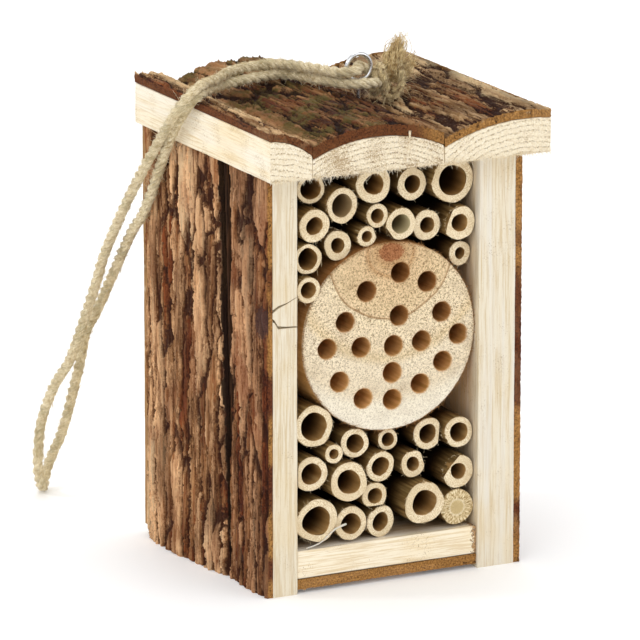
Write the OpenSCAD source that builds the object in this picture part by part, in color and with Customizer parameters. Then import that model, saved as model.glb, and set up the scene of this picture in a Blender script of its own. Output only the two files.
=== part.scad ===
// Insect hotel: a small nest house of bark-faced boards with a half-round slab roof,
// a drilled log and a filling of bamboo canes, hung from a screw eye by a jute loop.
// Millimetres, +Z up, front towards -Y. The origin is on the ground below the middle of the roof.

/* [House] */
// Width of the roof from edge to edge
roof_w = 124; // [105:1:160]
// Depth of the roof from front to rear
roof_d = 122; // [105:1:160]
// Height of the side boards, up to the underside of the roof
wall_h = 172; // [140:1:210]
// How far the roof reaches past the wood of each side
side_overhang = 8; // [5:0.5:14]
// How far the roof reaches past the front of the side boards
front_overhang = 14; // [6:0.5:20]

/* [Side boards] */
// Thickness of the left boards at their edges
left_board_t = 11; // [8:0.5:16]
// Thickness of the right boards at their edges
right_board_t = 16.5; // [10:0.5:18]
// Bark on the left boards
left_bark_t = 2.5; // [1.5:0.5:4]
// Bark on the right boards
right_bark_t = 3.5; // [1.5:0.5:4]
// Width of the front boards at the bottom
front_board_foot = 33; // [26:1:40]
// Width of the front boards at the top
front_board_head = 30; // [24:1:38]
// Gap between front and rear boards at the bottom
gap_foot = 1; // [1:0.5:4]
// Gap between front and rear boards at the top
gap_head = 10; // [2:0.5:14]
// Radius of the log that the front boards were sawn from
front_board_r = 120; // [100:5:200]
// Radius of the log that the rear boards were sawn from
rear_board_r = 150; // [130:5:250]

/* [Floor and back] */
// Thickness of the floor board
floor_t = 11.5; // [8:0.5:16]
// Thickness of the bark under the floor
floor_bark_t = 4.8; // [2:0.2:6]
// Height of the floor's bark above the ground
floor_clear = 1.2; // [0.5:0.1:4]
// How far the floor's front edge is set back
floor_setback = 0.5; // [0.5:0.5:6]
// Thickness of the back board
back_t = 6.5; // [5:0.5:10]
// How far the back board stands out past the bark on the left
back_reach = 3; // [0:0.5:5]
// How far the back board's foot is above the ground
back_lift = 3; // [0:0.5:10]

/* [Roof] */
// Width of the left slab
left_slab_w = 18.5; // [14:0.5:22]
// Width of the right slab
right_slab_w = 47.5; // [42:0.5:54]
// Height of the left slab's wood at its crest
left_slab_h = 16.5; // [14:0.5:20]
// Height of the middle slab's wood at its crest
middle_slab_h = 14; // [12:0.5:18]
// Height of the right slab's wood at its crest
right_slab_h = 14.5; // [12:0.5:18]
// Height of the left slab's wood at its joint
left_slab_edge = 8.8; // [5:0.1:12]
// Height of the middle slab's wood at both joints
middle_slab_edge = 7.5; // [5:0.1:10]
// Height of the right slab's wood at its joint
right_slab_edge = 6.5; // [5:0.1:10]
// Distance of the right slab's crest from its joint
right_crest = 36; // [30:0.5:42]
// Bark on the left slab
left_roof_bark = 3.5; // [2:0.5:5]
// Bark on the middle slab
middle_roof_bark = 5; // [2:0.5:6]
// Bark on the right slab
right_roof_bark = 4; // [2:0.5:6]

/* [Nest block] */
// Diameter of the log block
log_d = 76.6; // [70:0.2:76.6]
// How far the log's face is set back from the front
log_setback = 3; // [0:0.5:8]
// Diameter of a drilled nest hole
nest_d = 8; // [6:0.5:9]
// Depth of a nest hole
nest_depth = 60; // [40:1:80]
// Thickness of the knot wall that closes a cane near its rear end
cane_node_t = 3; // [2:0.5:6]

/* [Fasteners and rope] */
// Shank diameter of a nail
nail_d = 1.6; // [1.4:0.1:2.2]
// Head diameter of a nail
nail_head_d = 3.4; // [2.8:0.1:4.4]
// Length of a nail
nail_len = 28; // [24:1:30]
// How deep the nails in bark-faced boards are set under the wood's surface
nail_set = 3; // [2:0.5:4]
// Wire diameter of the screw eye
eye_wire = 1.8; // [1.4:0.1:2.2]
// Inner diameter of the eye's ring
eye_bore = 9; // [8.4:0.2:12]
// Length of the eye's thread below the top of the bark
eye_thread = 12; // [8:0.5:14]
// Diameter of the jute rope
rope_d = 4.2; // [3:0.1:4.4]
// Diameter of the knot that ties the rope's ends together
knot_d = 13; // [10:0.5:13]

/* [Hidden] */
$fn = 96;
hole_clear = 0.05;     // radial clearance of a nail or thread in its hole
nail_head_t = 0.8;
past = 1;              // how far a cut runs past the face it opens
bulge = 14;            // box room for a board's round back and its bark

half_w = roof_w / 2 - side_overhang;            // centre to the outer edge of a side board's wood
front_y = -roof_d / 2 + front_overhang;         // front plane of the side boards
rear_y = roof_d / 2;                            // rear face of the back board
back_y = rear_y - back_t;                       // front face of the back board
floor_z = floor_clear + floor_bark_t;           // underside of the floor's wood
floor_top = floor_z + floor_t;
inner_left = -half_w + left_board_t;
inner_right = half_w - right_board_t;
inner_w = inner_right - inner_left;
inner_h = wall_h - floor_top;
inner_mid = (inner_left + inner_right) / 2;
joint_1 = -roof_w / 2 + left_slab_w;            // joint between the left and middle slabs
joint_2 = roof_w / 2 - right_slab_w;            // joint between the middle and right slabs
middle_crest = (joint_1 + joint_2) / 2;

// Radius of a round top that drops from its crest by drop over the distance run
function round_r(run, drop) = (run * run + drop * drop) / (2 * drop);
left_slab_r = round_r(left_slab_w, left_slab_h - left_slab_edge);
middle_slab_r = round_r((joint_2 - joint_1) / 2, middle_slab_h - middle_slab_edge);
right_slab_r = round_r(right_crest, right_slab_h - right_slab_edge);

// Top of a round slab at x, from its crest, its crest's height and its radius
function arc_z(x, crest, top, r) = top - r + sqrt(r * r - pow(x - crest, 2));
function left_z(x) = arc_z(x, -roof_w / 2, wall_h + left_slab_h, left_slab_r);
function middle_z(x) = arc_z(x, middle_crest, wall_h + middle_slab_h, middle_slab_r);
function right_z(x) = arc_z(x, joint_2 + right_crest, wall_h + right_slab_h, right_slab_r);
function roof_wood_z(x) = x < joint_1 ? left_z(x) : x < joint_2 ? middle_z(x) : right_z(x);
function roof_bark_t(x) = x < joint_1 ? left_roof_bark : x < joint_2 ? middle_roof_bark : right_roof_bark;

// The filling was laid out in a compartment of this size, and is scaled to the real one
fill_w = 80.5;
fill_h = 154.5;
fill_x = inner_w / fill_w;
fill_z = inner_h / fill_h;
fill_scale = min(fill_x, fill_z);
function place_x(x) = inner_mid + x * fill_x;
function place_z(z) = floor_top + z * fill_z;

// Each cane: x from the compartment's middle, z above the floor, diameter, bore, set-back of its face
upper_canes = [
    [-31.4, 145.3, 12, 8.4, 6], [-19.2, 138, 14.4, 9.5, 3], [-5.9, 145.2, 15, 8.6, 2],
    [13.8, 142.4, 13, 6.8, 7], [30.8, 142.5, 18.4, 12, 5], [-31.4, 131.2, 13.4, 7.2, 3],
    [-3.2, 132, 9.6, 5.6, 4], [-7.8, 124.1, 8.6, 4.4, 4], [7.2, 127.4, 13, 7.6, 4],
    [19.9, 125.2, 12.6, 6.4, 6], [33.2, 125.4, 13.6, 6.8, 3], [34.8, 112, 9.8, 4.6, 6],
    [-19.7, 121.4, 12, 5.8, 6], [-33.6, 118, 12, 8.4, 4], [-34.9, 106.1, 10.4, 6.8, 1],
];
lower_canes = [
    [-31.6, 49.5, 17, 11.6, 3], [-23.4, 37.8, 8, 3.8, 2], [-13.2, 40.2, 12, 7.2, 4],
    [2.8, 39.4, 8.8, 5.2, 6], [20.8, 39.4, 13, 7.8, 6], [33.8, 39, 12.4, 7.6, 4],
    [-33, 30.6, 14, 8.6, 2], [-17, 25.8, 16.4, 10.2, 1], [-2.1, 29.6, 12.4, 7.6, 3],
    [13.6, 28, 11, 5.6, 5], [33, 23.2, 14, 6.8, 3], [-4.5, 17.8, 11, 6.2, 3],
    [16.6, 12.8, 17.6, 10.8, 0.5], [32.6, 8.2, 14.6, 0, 3], [-31.2, 11.2, 18, 12, 2],
    [-15.2, 7.8, 14, 8.4, 3], [-1.4, 6.4, 12.4, 7.2, 4],
];
// Nest holes: x and z from the log's centre
nest_holes = [
    [5, 25.5], [17, 20.5], [-10, 19.5], [23.5, 7.5], [4.5, 8], [-19.5, 8], [31, -2.5],
    [14.5, -3.5], [2, -4], [-12.5, -3], [-27.5, -2], [24, -13], [1.5, -15],
    [-22, -16], [14, -21], [-11.5, -24], [1.5, -26],
];
log_x = 1.8;                                    // log centre from the compartment's middle
log_z = 82.5;                                   // log centre above the floor

// Nail places, tied to the pieces that they join
left_nail_x = inner_left - left_board_t / 2;
right_nail_x = inner_right + right_board_t / 2;
back_nail_y = rear_y - back_t / 2;
front_nail_y = front_y + 15;
rear_nail_y = back_y - 20;
floor_nail_z = floor_z + floor_t / 2;
roof_nails = [
    for (x = [left_nail_x, right_nail_x], y = [front_nail_y, rear_nail_y]) [x, y],
    for (k = [0.25, 0.75]) [joint_1 + k * (joint_2 - joint_1), back_nail_y],
];
floor_nail_ys = [front_nail_y - 3, rear_nail_y - 5];
back_nails = [
    for (x = [left_nail_x, right_nail_x], k = [0.2, 0.5, 0.8]) [x, k * wall_h],
    for (k = [0.25, 0.75]) [inner_left + k * inner_w, floor_nail_z],
];

// Screw eye
eye_x = 8;
eye_y = 0;
eye_neck = 7;                                   // bare shank between the bark and the ring
eye_r = (eye_bore + eye_wire) / 2;
eye_foot = roof_wood_z(eye_x) + roof_bark_t(eye_x);
eye_z = eye_foot + eye_neck + eye_r;

// The rope's route: from the knot past the ring's front, over the roof, down and round, and back
// through the ring to the knot
rope_route = [
    [15, -3, 193.2], [9, -6, 194], [2, -2, 194], [-4, 8, 194], [-9, 20, 194], [-17, 26, 194],
    [-40, 19, 194], [-54, 8, 195], [-62, 2, 194.6], [-65.6, 6, 189], [-66, 20, 174],
    [-66, 43, 141], [-66, 58, 126], [-66, 89, 89], [-66, 101, 76], [-66, 108, 60],
    [-66, 124, 30], [-66, 135, 16], [-67, 139, 8], [-71, 134, 2.4], [-75, 128, 6],
    [-77, 126, 14], [-76, 125, 32], [-76, 111, 52], [-75, 96, 68], [-73, 76, 103],
    [-72, 67, 120], [-71, 44, 149], [-69, 15, 181], [-67, 3, 193.5], [-61, 1, 199],
    [-50, 9, 198.8], [-37, 22, 198.4], [-17, 26, 198.4], [-7, 12, 198.4], [-1, -1, 198.5],
    [5, -4, 199.2], [8, 0, 199.5], [10.8, 4.6, 199], [15.7, 3.2, 195.7],
];
knot_at = [21, 0, 192.5];
rope_sides = 8;
rope_steps = 2;                                 // rings for each stretch of the route
tail_root_d = 3.4;
tail_tip_d = 7;
rope_tails = [[[24, 2, 198.3], [29.5, 5.5, 208]], [[27.2, 2, 194.6], [36.5, 5, 199]]];

function pad(n) = n < 10 ? str("0", n) : str(n);
upper_names = [for (i = [1 : len(upper_canes)]) str("upper_cane_", pad(i))];
lower_names = [for (i = [1 : len(lower_canes)]) str("lower_cane_", pad(i))];

// A round bar along +Y from y0 to y1
module y_bar(x, z, d, y0, y1) {
    translate([x, y0, z]) rotate([-90, 0, 0]) cylinder(d = d, h = y1 - y0);
}

// A nail at the origin, its head's top at z = 0 and its shank pointing down
module nail() {
    translate([0, 0, -nail_head_t]) cylinder(d = nail_head_d, h = nail_head_t, $fn = 32);
    translate([0, 0, -nail_len]) cylinder(d = nail_d, h = nail_len, $fn = 32);
}

// The hole that a nail leaves, open above its head
module nail_hole(above) {
    translate([0, 0, -nail_head_t])
        cylinder(d = nail_head_d + 2 * hole_clear, h = nail_head_t + above, $fn = 32);
    translate([0, 0, -nail_len - past])
        cylinder(d = nail_d + 2 * hole_clear, h = nail_len + past, $fn = 32);
}

// Every nail, or every nail's hole when hole is above 0, in its place
module at_roof_nails() {
    for (p = roof_nails) translate([p.x, p.y, roof_wood_z(p.x) - nail_set]) children();
}
module at_floor_nails() {
    for (y = floor_nail_ys, side = [-1, 1])
        translate([side * (half_w - nail_set), y, floor_nail_z]) rotate([0, side * 90, 0]) children();
}
module at_back_nails() {
    for (p = back_nails) translate([p.x, rear_y, p.y]) rotate([-90, 0, 0]) children();
}
module roof_nail_holes() at_roof_nails() nail_hole(nail_set + bulge);
module floor_nail_holes() at_floor_nails() nail_hole(nail_set + bulge);
module back_nail_holes() at_back_nails() nail_hole(past);

// Outline, in Y and Z, of the front or rear board of a side
module front_outline() {
    polygon([[front_y, 0], [front_y + front_board_foot, 0],
        [front_y + front_board_head, wall_h], [front_y, wall_h]]);
}
module rear_outline() {
    polygon([[front_y + front_board_foot + gap_foot, 0], [back_y, 0], [back_y, wall_h],
        [front_y + front_board_head + gap_head, wall_h]]);
}

// The outline pulled along X between two places
module along_x(x0, x1) {
    translate([x0, 0, 0]) rotate([90, 0, 90]) linear_extrude(x1 - x0) children();
}

// Upright round of radius r whose face meets x at the edges of a board from y0 to y1
module board_round(x, y0, y1, r, grow) {
    sag_centre = x - sqrt(r * r - pow((y1 - y0) / 2, 2));
    translate([sag_centre, (y0 + y1) / 2, -past])
        cylinder(r = r + grow, h = wall_h + 2 * past, $fn = 240);
}

// A board on the +X side, with its round, bark-covered face outwards
module board_wood(t, y0, y1, r) {
    intersection() {
        along_x(half_w - t, half_w + bulge) children();
        board_round(half_w, y0, y1, r, 0);
    }
}
module board_bark(t, y0, y1, r) {
    difference() {
        intersection() {
            along_x(half_w - past, half_w + bulge) children();
            board_round(half_w, y0, y1, r, t);
        }
        board_round(half_w, y0, y1, r, 0);
    }
}

rear_board_y = front_y + front_board_foot + gap_foot;
front_board_y = front_y + front_board_foot;

module side_holes() {
    roof_nail_holes();
    floor_nail_holes();
    back_nail_holes();
}

module left_front_board() {
    color("#e8d8b4") difference() {
        mirror([1, 0, 0]) board_wood(left_board_t, front_y, front_board_y, front_board_r) front_outline();
        side_holes();
    }
}
module left_rear_board() {
    color("#d9c39a") difference() {
        mirror([1, 0, 0]) board_wood(left_board_t, rear_board_y, back_y, rear_board_r) rear_outline();
        side_holes();
    }
}
module right_front_board() {
    color("#e8d8b4") difference() {
        board_wood(right_board_t, front_y, front_board_y, front_board_r) front_outline();
        side_holes();
    }
}
module right_rear_board() {
    color("#d9c39a") difference() {
        board_wood(right_board_t, rear_board_y, back_y, rear_board_r) rear_outline();
        side_holes();
    }
}
module left_front_bark() {
    color("#7a5238") mirror([1, 0, 0])
        board_bark(left_bark_t, front_y, front_board_y, front_board_r) front_outline();
}
module left_rear_bark() {
    color("#7d5a42") mirror([1, 0, 0])
        board_bark(left_bark_t, rear_board_y, back_y, rear_board_r) rear_outline();
}
module right_front_bark() {
    color("#7a5238") board_bark(right_bark_t, front_y, front_board_y, front_board_r) front_outline();
}
module right_rear_bark() {
    color("#7d5a42") board_bark(right_bark_t, rear_board_y, back_y, rear_board_r) rear_outline();
}

module floor_board() {
    color("#ecdcb8") difference() {
        translate([inner_left, front_y + floor_setback, floor_z])
            cube([inner_w, back_y - front_y - floor_setback, floor_t]);
        floor_nail_holes();
        back_nail_holes();
    }
}
module floor_bark() {
    color("#6e4428") translate([inner_left, front_y + floor_setback, floor_clear])
        cube([inner_w, back_y - front_y - floor_setback, floor_bark_t]);
}
module back_board() {
    color("#e2cfa6") difference() {
        translate([-half_w - left_bark_t - back_reach, back_y, back_lift])
            cube([2 * half_w + left_bark_t + back_reach + right_bark_t, back_t, wall_h - back_lift]);
        back_nail_holes();
        roof_nail_holes();
    }
}

// Half-round roof slab from x0 to x1, with its crest at crest
module slab_wood(x0, x1, crest, h, r) {
    difference() {
        intersection() {
            translate([x0, -roof_d / 2, wall_h]) cube([x1 - x0, roof_d, h + past]);
            y_bar(crest, wall_h + h - r, 2 * r, -roof_d / 2 - past, roof_d / 2 + past, $fn = 240);
        }
        roof_nail_holes();
        screw_hole();
    }
}
module slab_bark(x0, x1, crest, h, r, bark) {
    difference() {
        intersection() {
            translate([x0, -roof_d / 2, wall_h]) cube([x1 - x0, roof_d, h + bark + past]);
            y_bar(crest, wall_h + h - r, 2 * (r + bark), -roof_d / 2 - past, roof_d / 2 + past, $fn = 240);
        }
        y_bar(crest, wall_h + h - r, 2 * r, -roof_d / 2 - 2 * past, roof_d / 2 + 2 * past, $fn = 240);
        screw_hole();
    }
}
module roof_left_slab() {
    color("#ead9b0") slab_wood(-roof_w / 2, joint_1, -roof_w / 2, left_slab_h, left_slab_r);
}
module roof_left_bark() {
    color("#8a5c3c") slab_bark(-roof_w / 2, joint_1, -roof_w / 2, left_slab_h, left_slab_r, left_roof_bark);
}
module roof_middle_slab() {
    color("#ecdcb6") slab_wood(joint_1, joint_2, middle_crest, middle_slab_h, middle_slab_r);
}
module roof_middle_bark() {
    color("#7b5a41")
        slab_bark(joint_1, joint_2, middle_crest, middle_slab_h, middle_slab_r, middle_roof_bark);
}
module roof_right_slab() {
    color("#ead9b0") slab_wood(joint_2, roof_w / 2, joint_2 + right_crest, right_slab_h, right_slab_r);
}
module roof_right_bark() {
    color("#80604a")
        slab_bark(joint_2, roof_w / 2, joint_2 + right_crest, right_slab_h, right_slab_r, right_roof_bark);
}

module log_block() {
    x = place_x(log_x);
    z = place_z(log_z);
    face = front_y + log_setback;
    color("#e9d6ae") difference() {
        y_bar(x, z, log_d * fill_scale, face, back_y, $fn = 144);
        for (p = nest_holes)
            y_bar(x + p.x * fill_scale, z + p.y * fill_scale, nest_d * fill_scale,
                face - past, face + nest_depth, $fn = 48);
    }
}

// A cane, closed by its own knot wall near the back board, and solid where its bore is 0
module cane(c) {
    x = place_x(c[0]);
    z = place_z(c[1]);
    face = front_y + c[4];
    color("#d8c48e") difference() {
        y_bar(x, z, c[2] * fill_scale, face, back_y, $fn = 64);
        if (c[3] > 0) y_bar(x, z, c[3] * fill_scale, face - past, back_y - cane_node_t, $fn = 48);
    }
}

module roof_nails() {
    color("#8d8f92") at_roof_nails() nail();
}
module floor_nails() {
    color("#8d8f92") at_floor_nails() nail();
}
module back_nails() {
    color("#9b9da0") at_back_nails() nail();
}

module screw_hole() {
    translate([eye_x, eye_y, eye_foot - eye_thread - hole_clear])
        cylinder(r = eye_wire / 2 + hole_clear, h = eye_thread + bulge, $fn = 32);
}
module screw_eye() {
    color("#c9ccd0") {
        translate([eye_x, eye_y, eye_z]) rotate([90, 0, 0])
            rotate_extrude() translate([eye_r, 0]) circle(d = eye_wire, $fn = 32);
        translate([eye_x, eye_y, eye_foot - eye_thread])
            cylinder(d = eye_wire, h = eye_thread + eye_neck, $fn = 32);
    }
}

// A point on the smooth curve through the route, k from 0 to 1 between points i and i + 1
function route_at(p, i, k) = let (
    n = len(p) - 1,
    a = p[max(i - 1, 0)], b = p[i], c = p[min(i + 1, n)], d = p[min(i + 2, n)]
) 0.5 * (2 * b + (c - a) * k + (2 * a - 5 * b + 4 * c - d) * k * k + (3 * b - a - 3 * c + d) * k * k * k);
function smooth_route(p, steps) = concat(
    [for (i = [0 : len(p) - 2], s = [0 : steps - 1]) route_at(p, i, s / steps)], [p[len(p) - 1]]);
function unit(v) = v / norm(v);
function heading(p, i) = unit(p[min(i + 1, len(p) - 1)] - p[max(i - 1, 0)]);
// A direction square to the route, carried along it so that the tube doesn't twist
function across(p, i, last) = let (t = heading(p, i)) unit(last - t * (last * t));
function frames(p) = [for (i = 0, u = across(p, 0, [0, 0, 1]); i < len(p);
    i = i + 1, u = i < len(p) ? across(p, i, u) : u) u];

// A tube of diameter d along the points p
module tube(p, d) {
    up = frames(p);
    m = rope_sides;
    n = len(p);
    rings = [for (i = [0 : n - 1], a = [0 : m - 1])
        let (v = cross(heading(p, i), up[i]))
        p[i] + d / 2 * (cos(a * 360 / m) * up[i] + sin(a * 360 / m) * v)];
    walls = [for (i = [0 : n - 2], a = [0 : m - 1])
        let (q = i * m + a, r = i * m + (a + 1) % m)
        each [[q, q + m, r], [r, q + m, r + m]]];
    ends = [[for (a = [0 : m - 1]) a], [for (a = [0 : m - 1]) n * m - 1 - a]];
    polyhedron(rings, concat(walls, ends));
}

// A straight cone from a to b
module taper(a, b, d1, d2) {
    v = b - a;
    translate(a) rotate([0, acos(v.z / norm(v)), atan2(v.y, v.x)])
        cylinder(d1 = d1, d2 = d2, h = norm(v), $fn = 32);
}

module hanging_rope() {
    color("#a8977a") tube(smooth_route(rope_route, rope_steps), rope_d);
}
module rope_knot() {
    color("#9c8a68") translate(knot_at) sphere(d = knot_d, $fn = 48);
}
module rope_ends() {
    color("#b59a62") for (t = rope_tails) taper(t[0], t[1], tail_root_d, tail_tip_d);
}

floor_board();
floor_bark();
back_board();
left_front_board();
left_front_bark();
left_rear_board();
left_rear_bark();
right_front_board();
right_front_bark();
right_rear_board();
right_rear_bark();
roof_left_slab();
roof_left_bark();
roof_middle_slab();
roof_middle_bark();
roof_right_slab();
roof_right_bark();
log_block();
roof_nails();
floor_nails();
back_nails();
screw_eye();
hanging_rope();
rope_knot();
rope_ends();
for (i = [0 : len(upper_canes) - 1])
    cane(upper_canes[i]);
for (i = [0 : len(lower_canes) - 1])
    cane(lower_canes[i]);
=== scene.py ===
"""The looks of a small insect hotel: bark-faced boards, a half-round slab roof, a drilled log,
bamboo canes, a screw eye and a jute rope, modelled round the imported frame."""

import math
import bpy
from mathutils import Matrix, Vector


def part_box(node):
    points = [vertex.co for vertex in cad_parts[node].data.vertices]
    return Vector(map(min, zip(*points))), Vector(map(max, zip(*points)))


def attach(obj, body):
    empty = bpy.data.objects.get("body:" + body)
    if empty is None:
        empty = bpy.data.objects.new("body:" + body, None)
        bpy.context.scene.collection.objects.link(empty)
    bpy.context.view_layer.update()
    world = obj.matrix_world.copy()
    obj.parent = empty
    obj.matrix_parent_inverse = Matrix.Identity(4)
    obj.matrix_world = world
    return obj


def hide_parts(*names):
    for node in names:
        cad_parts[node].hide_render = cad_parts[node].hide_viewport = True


bl_info = {
    "name": "Insect Hotel",
    "version": (1, 0, 0),
    "blender": (4, 5, 0),
    "location": "View3D > Sidebar > Insect Hotel",
    "description": "Models the finished pieces of a hanging insect hotel",
    "category": "Object",
}

import bpy
import numpy as np
from bpy.props import FloatProperty, FloatVectorProperty, IntProperty, PointerProperty
from mathutils import Vector

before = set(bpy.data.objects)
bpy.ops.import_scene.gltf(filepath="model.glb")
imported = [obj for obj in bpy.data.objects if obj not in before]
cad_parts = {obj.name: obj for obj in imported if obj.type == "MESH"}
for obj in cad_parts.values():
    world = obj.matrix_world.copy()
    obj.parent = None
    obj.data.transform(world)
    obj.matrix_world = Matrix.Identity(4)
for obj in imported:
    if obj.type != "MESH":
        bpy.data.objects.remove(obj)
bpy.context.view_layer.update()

MM = 0.001
X, Y, Z = Vector((1, 0, 0)), Vector((0, 1, 0)), Vector((0, 0, 1))
COARSE = 1.0

# The rope's route from the knot past the ring, over the roof, round its loop and back through the ring
ROPE_ROUTE = [
    (15, -3, 193.2), (9, -6, 194), (2, -2, 194), (-4, 8, 194), (-9, 20, 194), (-17, 26, 194),
    (-40, 19, 194), (-54, 8, 195), (-62, 2, 194.6), (-65.6, 6, 189), (-66, 20, 174),
    (-66, 43, 141), (-66, 58, 126), (-66, 89, 89), (-66, 101, 76), (-66, 108, 60),
    (-66, 124, 30), (-66, 135, 16), (-67, 139, 8), (-71, 134, 2.4), (-75, 128, 6),
    (-77, 126, 14), (-76, 125, 32), (-76, 111, 52), (-75, 96, 68), (-73, 76, 103),
    (-72, 67, 120), (-71, 44, 149), (-69, 15, 181), (-67, 3, 193.5), (-61, 1, 199),
    (-50, 9, 198.8), (-37, 22, 198.4), (-17, 26, 198.4), (-7, 12, 198.4), (-1, -1, 198.5),
    (5, -4, 199.2), (8, 0, 199.5), (10.8, 4.6, 199), (15.7, 3.2, 195.7),
]
# A strand's radius as a share of the rope's diameter
STRAND_SHARE = 0.285

# Each bark: its grain, its outward direction, the depth of its furrows in millimetres or the size that
# gives it, the width of its plates and how far they stretch along the grain, the height from 0 to 1 that
# stays on the CAD face, and the swelling towards the rear in millimetres
BARKS = {
    "left_front_bark": (Z, -X, "wall_relief", 7.4, 11.0, 0.62, 0.0),
    "left_rear_bark": (Z, -X, "wall_relief", 7.4, 11.0, 0.62, 3.6),
    "right_front_bark": (Z, X, 2.6, 7.4, 11.0, 0.95, 0.0),
    "right_rear_bark": (Z, X, 2.6, 7.4, 11.0, 0.95, 0.0),
    "roof_left_bark": (Y, Z, "roof_relief", 8.5, 9.0, 0.72, 0.9),
    "roof_middle_bark": (Y, Z, "roof_relief", 8.5, 9.0, 0.72, 2.9),
    "roof_right_bark": (Y, Z, "roof_relief", 11.0, 9.0, 0.92, 0.0),
    "floor_bark": (X, -Z, 3.4, 12.0, 6.0, 0.85, 0.0),
}
# The sides of the wall pieces that face the gaps between the boards, which are painted dark as shade
GAP_FACES = {
    "left_front_bark": (0.0, 1.0, 0.0), "left_rear_bark": (0.0, -1.0, 0.0),
    "right_front_bark": (0.0, 1.0, 0.0), "right_rear_bark": (0.0, -1.0, 0.0),
}
UPPER_CANES = sorted(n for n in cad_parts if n.startswith("upper_cane"))
LOWER_CANES = sorted(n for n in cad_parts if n.startswith("lower_cane"))

# Flats and chips on single canes: the side they are on in degrees from +X towards +Z, the radius
# kept there as a share, and how far along the cane they fade out in millimetres
CANE_FLATS = {
    "lower_cane_05": (-5, 0.78, 30), "lower_cane_11": (140, 0.52, 40), "lower_cane_12": (-90, 0.72, 12),
    "upper_cane_09": (215, 0.86, 20), "upper_cane_11": (160, 0.7, 40), "upper_cane_08": (20, 0.86, 20),
    "lower_cane_10": (15, 0.84, 30), "lower_cane_07": (180, 0.86, 40),
}
# The colours of the two bores that are paler than the rest
PALE_BORES = {"upper_cane_09": "#cdbf98", "upper_cane_02": "#b39a72"}

# Depths in millimetres: where the canes' mouths begin, how far behind them the painted shade in the canes is
# at its darkest, and where the darkening of the sawn walls and floor behind the front begins and is full
CANE_MOUTH, DARK_REACH = -44.8, 16.0
INWARD_DARK_START, INWARD_DARK_FULL = -46.4, -36.0

# The log's sawn rim ends between these depths, and the knot in its face lies this far from its middle,
# in millimetres
LOG_RIM_START, LOG_RIM_END = -43.4, -42.4
LOG_KNOT_X, LOG_KNOT_Z = 0.8, 34.3

# Between which X the green growth on the roof comes in and goes out, in millimetres, and between which
# depths a bark swells, in metres
MOSS_IN, MOSS_OUT = (-46.0, -38.0), (-12.0, 6.0)
SWELL_START, SWELL_FULL = 0.008, 0.055

# A hair has four rings of three points, three faces between each ring and the next, and its two ends
HAIR_RINGS = 4
HAIR_FACES = (HAIR_RINGS - 1) * 3 + 2

# How many triangles each kind of piece keeps
BARK_TRIANGLES, BOARD_TRIANGLES, FRONT_BOARD_TRIANGLES = 120000, 36000, 70000
SLAB_TRIANGLES, LOG_TRIANGLES = 90000, 170000


def srgb(code):
    """A colour for a socket from its web code, such as #f0e0c0."""
    parts = [int(code[i : i + 2], 16) / 255 for i in (1, 3, 5)]
    return [p / 12.92 if p <= 0.04045 else ((p + 0.055) / 1.055) ** 2.4 for p in parts] + [1.0]


# ---------------------------------------------------------------- sizes and colours


class HotelSizes(bpy.types.PropertyGroup):
    bark_voxel: FloatProperty(
        name="Bark fineness", description="Mesh size of the bark", default=0.52 * MM, unit="LENGTH"
    )
    wood_voxel: FloatProperty(
        name="Wood fineness", description="Mesh size of the sawn wood", default=0.7 * MM, unit="LENGTH"
    )
    wall_relief: FloatProperty(
        name="Wall bark relief", description="Depth of the furrows on the walls", default=5.4 * MM,
        unit="LENGTH",
    )
    roof_relief: FloatProperty(
        name="Roof bark relief", description="Depth of the furrows on the roof", default=5.6 * MM,
        unit="LENGTH",
    )
    rope_diameter: FloatProperty(
        name="Rope", description="Diameter of the rope", default=4.2 * MM, unit="LENGTH"
    )
    rope_pitch: FloatProperty(
        name="Rope lay", description="Length of one turn of the strands", default=13 * MM, unit="LENGTH"
    )
    rope_hairs: IntProperty(name="Rope hairs", description="Stray hairs on the rope", default=1700)
    rope_yarns: IntProperty(name="Rope fibres", description="Fibres laid along the strands", default=2500)


class HotelColours(bpy.types.PropertyGroup):
    bark_deep: FloatVectorProperty(
        name="Bark furrows", description="Colour deep in the bark", subtype="COLOR", size=4,
        default=srgb("#34180a"),
    )
    bark_mid: FloatVectorProperty(
        name="Bark", description="Colour of the bark", subtype="COLOR", size=4, default=srgb("#85603d"),
    )
    bark_top: FloatVectorProperty(
        name="Bark ridges", description="Colour of the weathered ridges", subtype="COLOR", size=4,
        default=srgb("#b8946e"),
    )
    wood: FloatVectorProperty(
        name="Sawn wood", description="Colour of fresh sawn wood", subtype="COLOR", size=4,
        default=srgb("#f0e4ca"),
    )
    wood_grain: FloatVectorProperty(
        name="Wood grain", description="Colour of the late wood", subtype="COLOR", size=4,
        default=srgb("#d8c096"),
    )
    cane: FloatVectorProperty(
        name="Cane end", description="Colour of a sawn cane", subtype="COLOR", size=4,
        default=srgb("#dfc9a2"),
    )
    jute: FloatVectorProperty(
        name="Jute", description="Colour of the rope", subtype="COLOR", size=4, default=srgb("#dccba4"),
    )


def sizes():
    return bpy.context.scene.hotel_sizes


def colours():
    return bpy.context.scene.hotel_colours


# ---------------------------------------------------------------- modelling helpers


def select_only(piece):
    if bpy.context.object and bpy.context.object.mode != "OBJECT":
        bpy.ops.object.mode_set(mode="OBJECT")
    bpy.ops.object.select_all(action="DESELECT")
    piece.select_set(True)
    bpy.context.view_layer.objects.active = piece


def rename(piece, name):
    piece.name = name
    piece.data.name = name
    return piece


def weld(piece, distance=0.001 * MM):
    """Merges doubled points and turns the faces outwards."""
    select_only(piece)
    bpy.ops.object.mode_set(mode="EDIT")
    bpy.ops.mesh.select_all(action="SELECT")
    bpy.ops.mesh.remove_doubles(threshold=distance)
    bpy.ops.mesh.normals_make_consistent(inside=False)
    bpy.ops.object.mode_set(mode="OBJECT")


def box_centre(node):
    low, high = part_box(node)
    return (low + high) / 2


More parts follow.
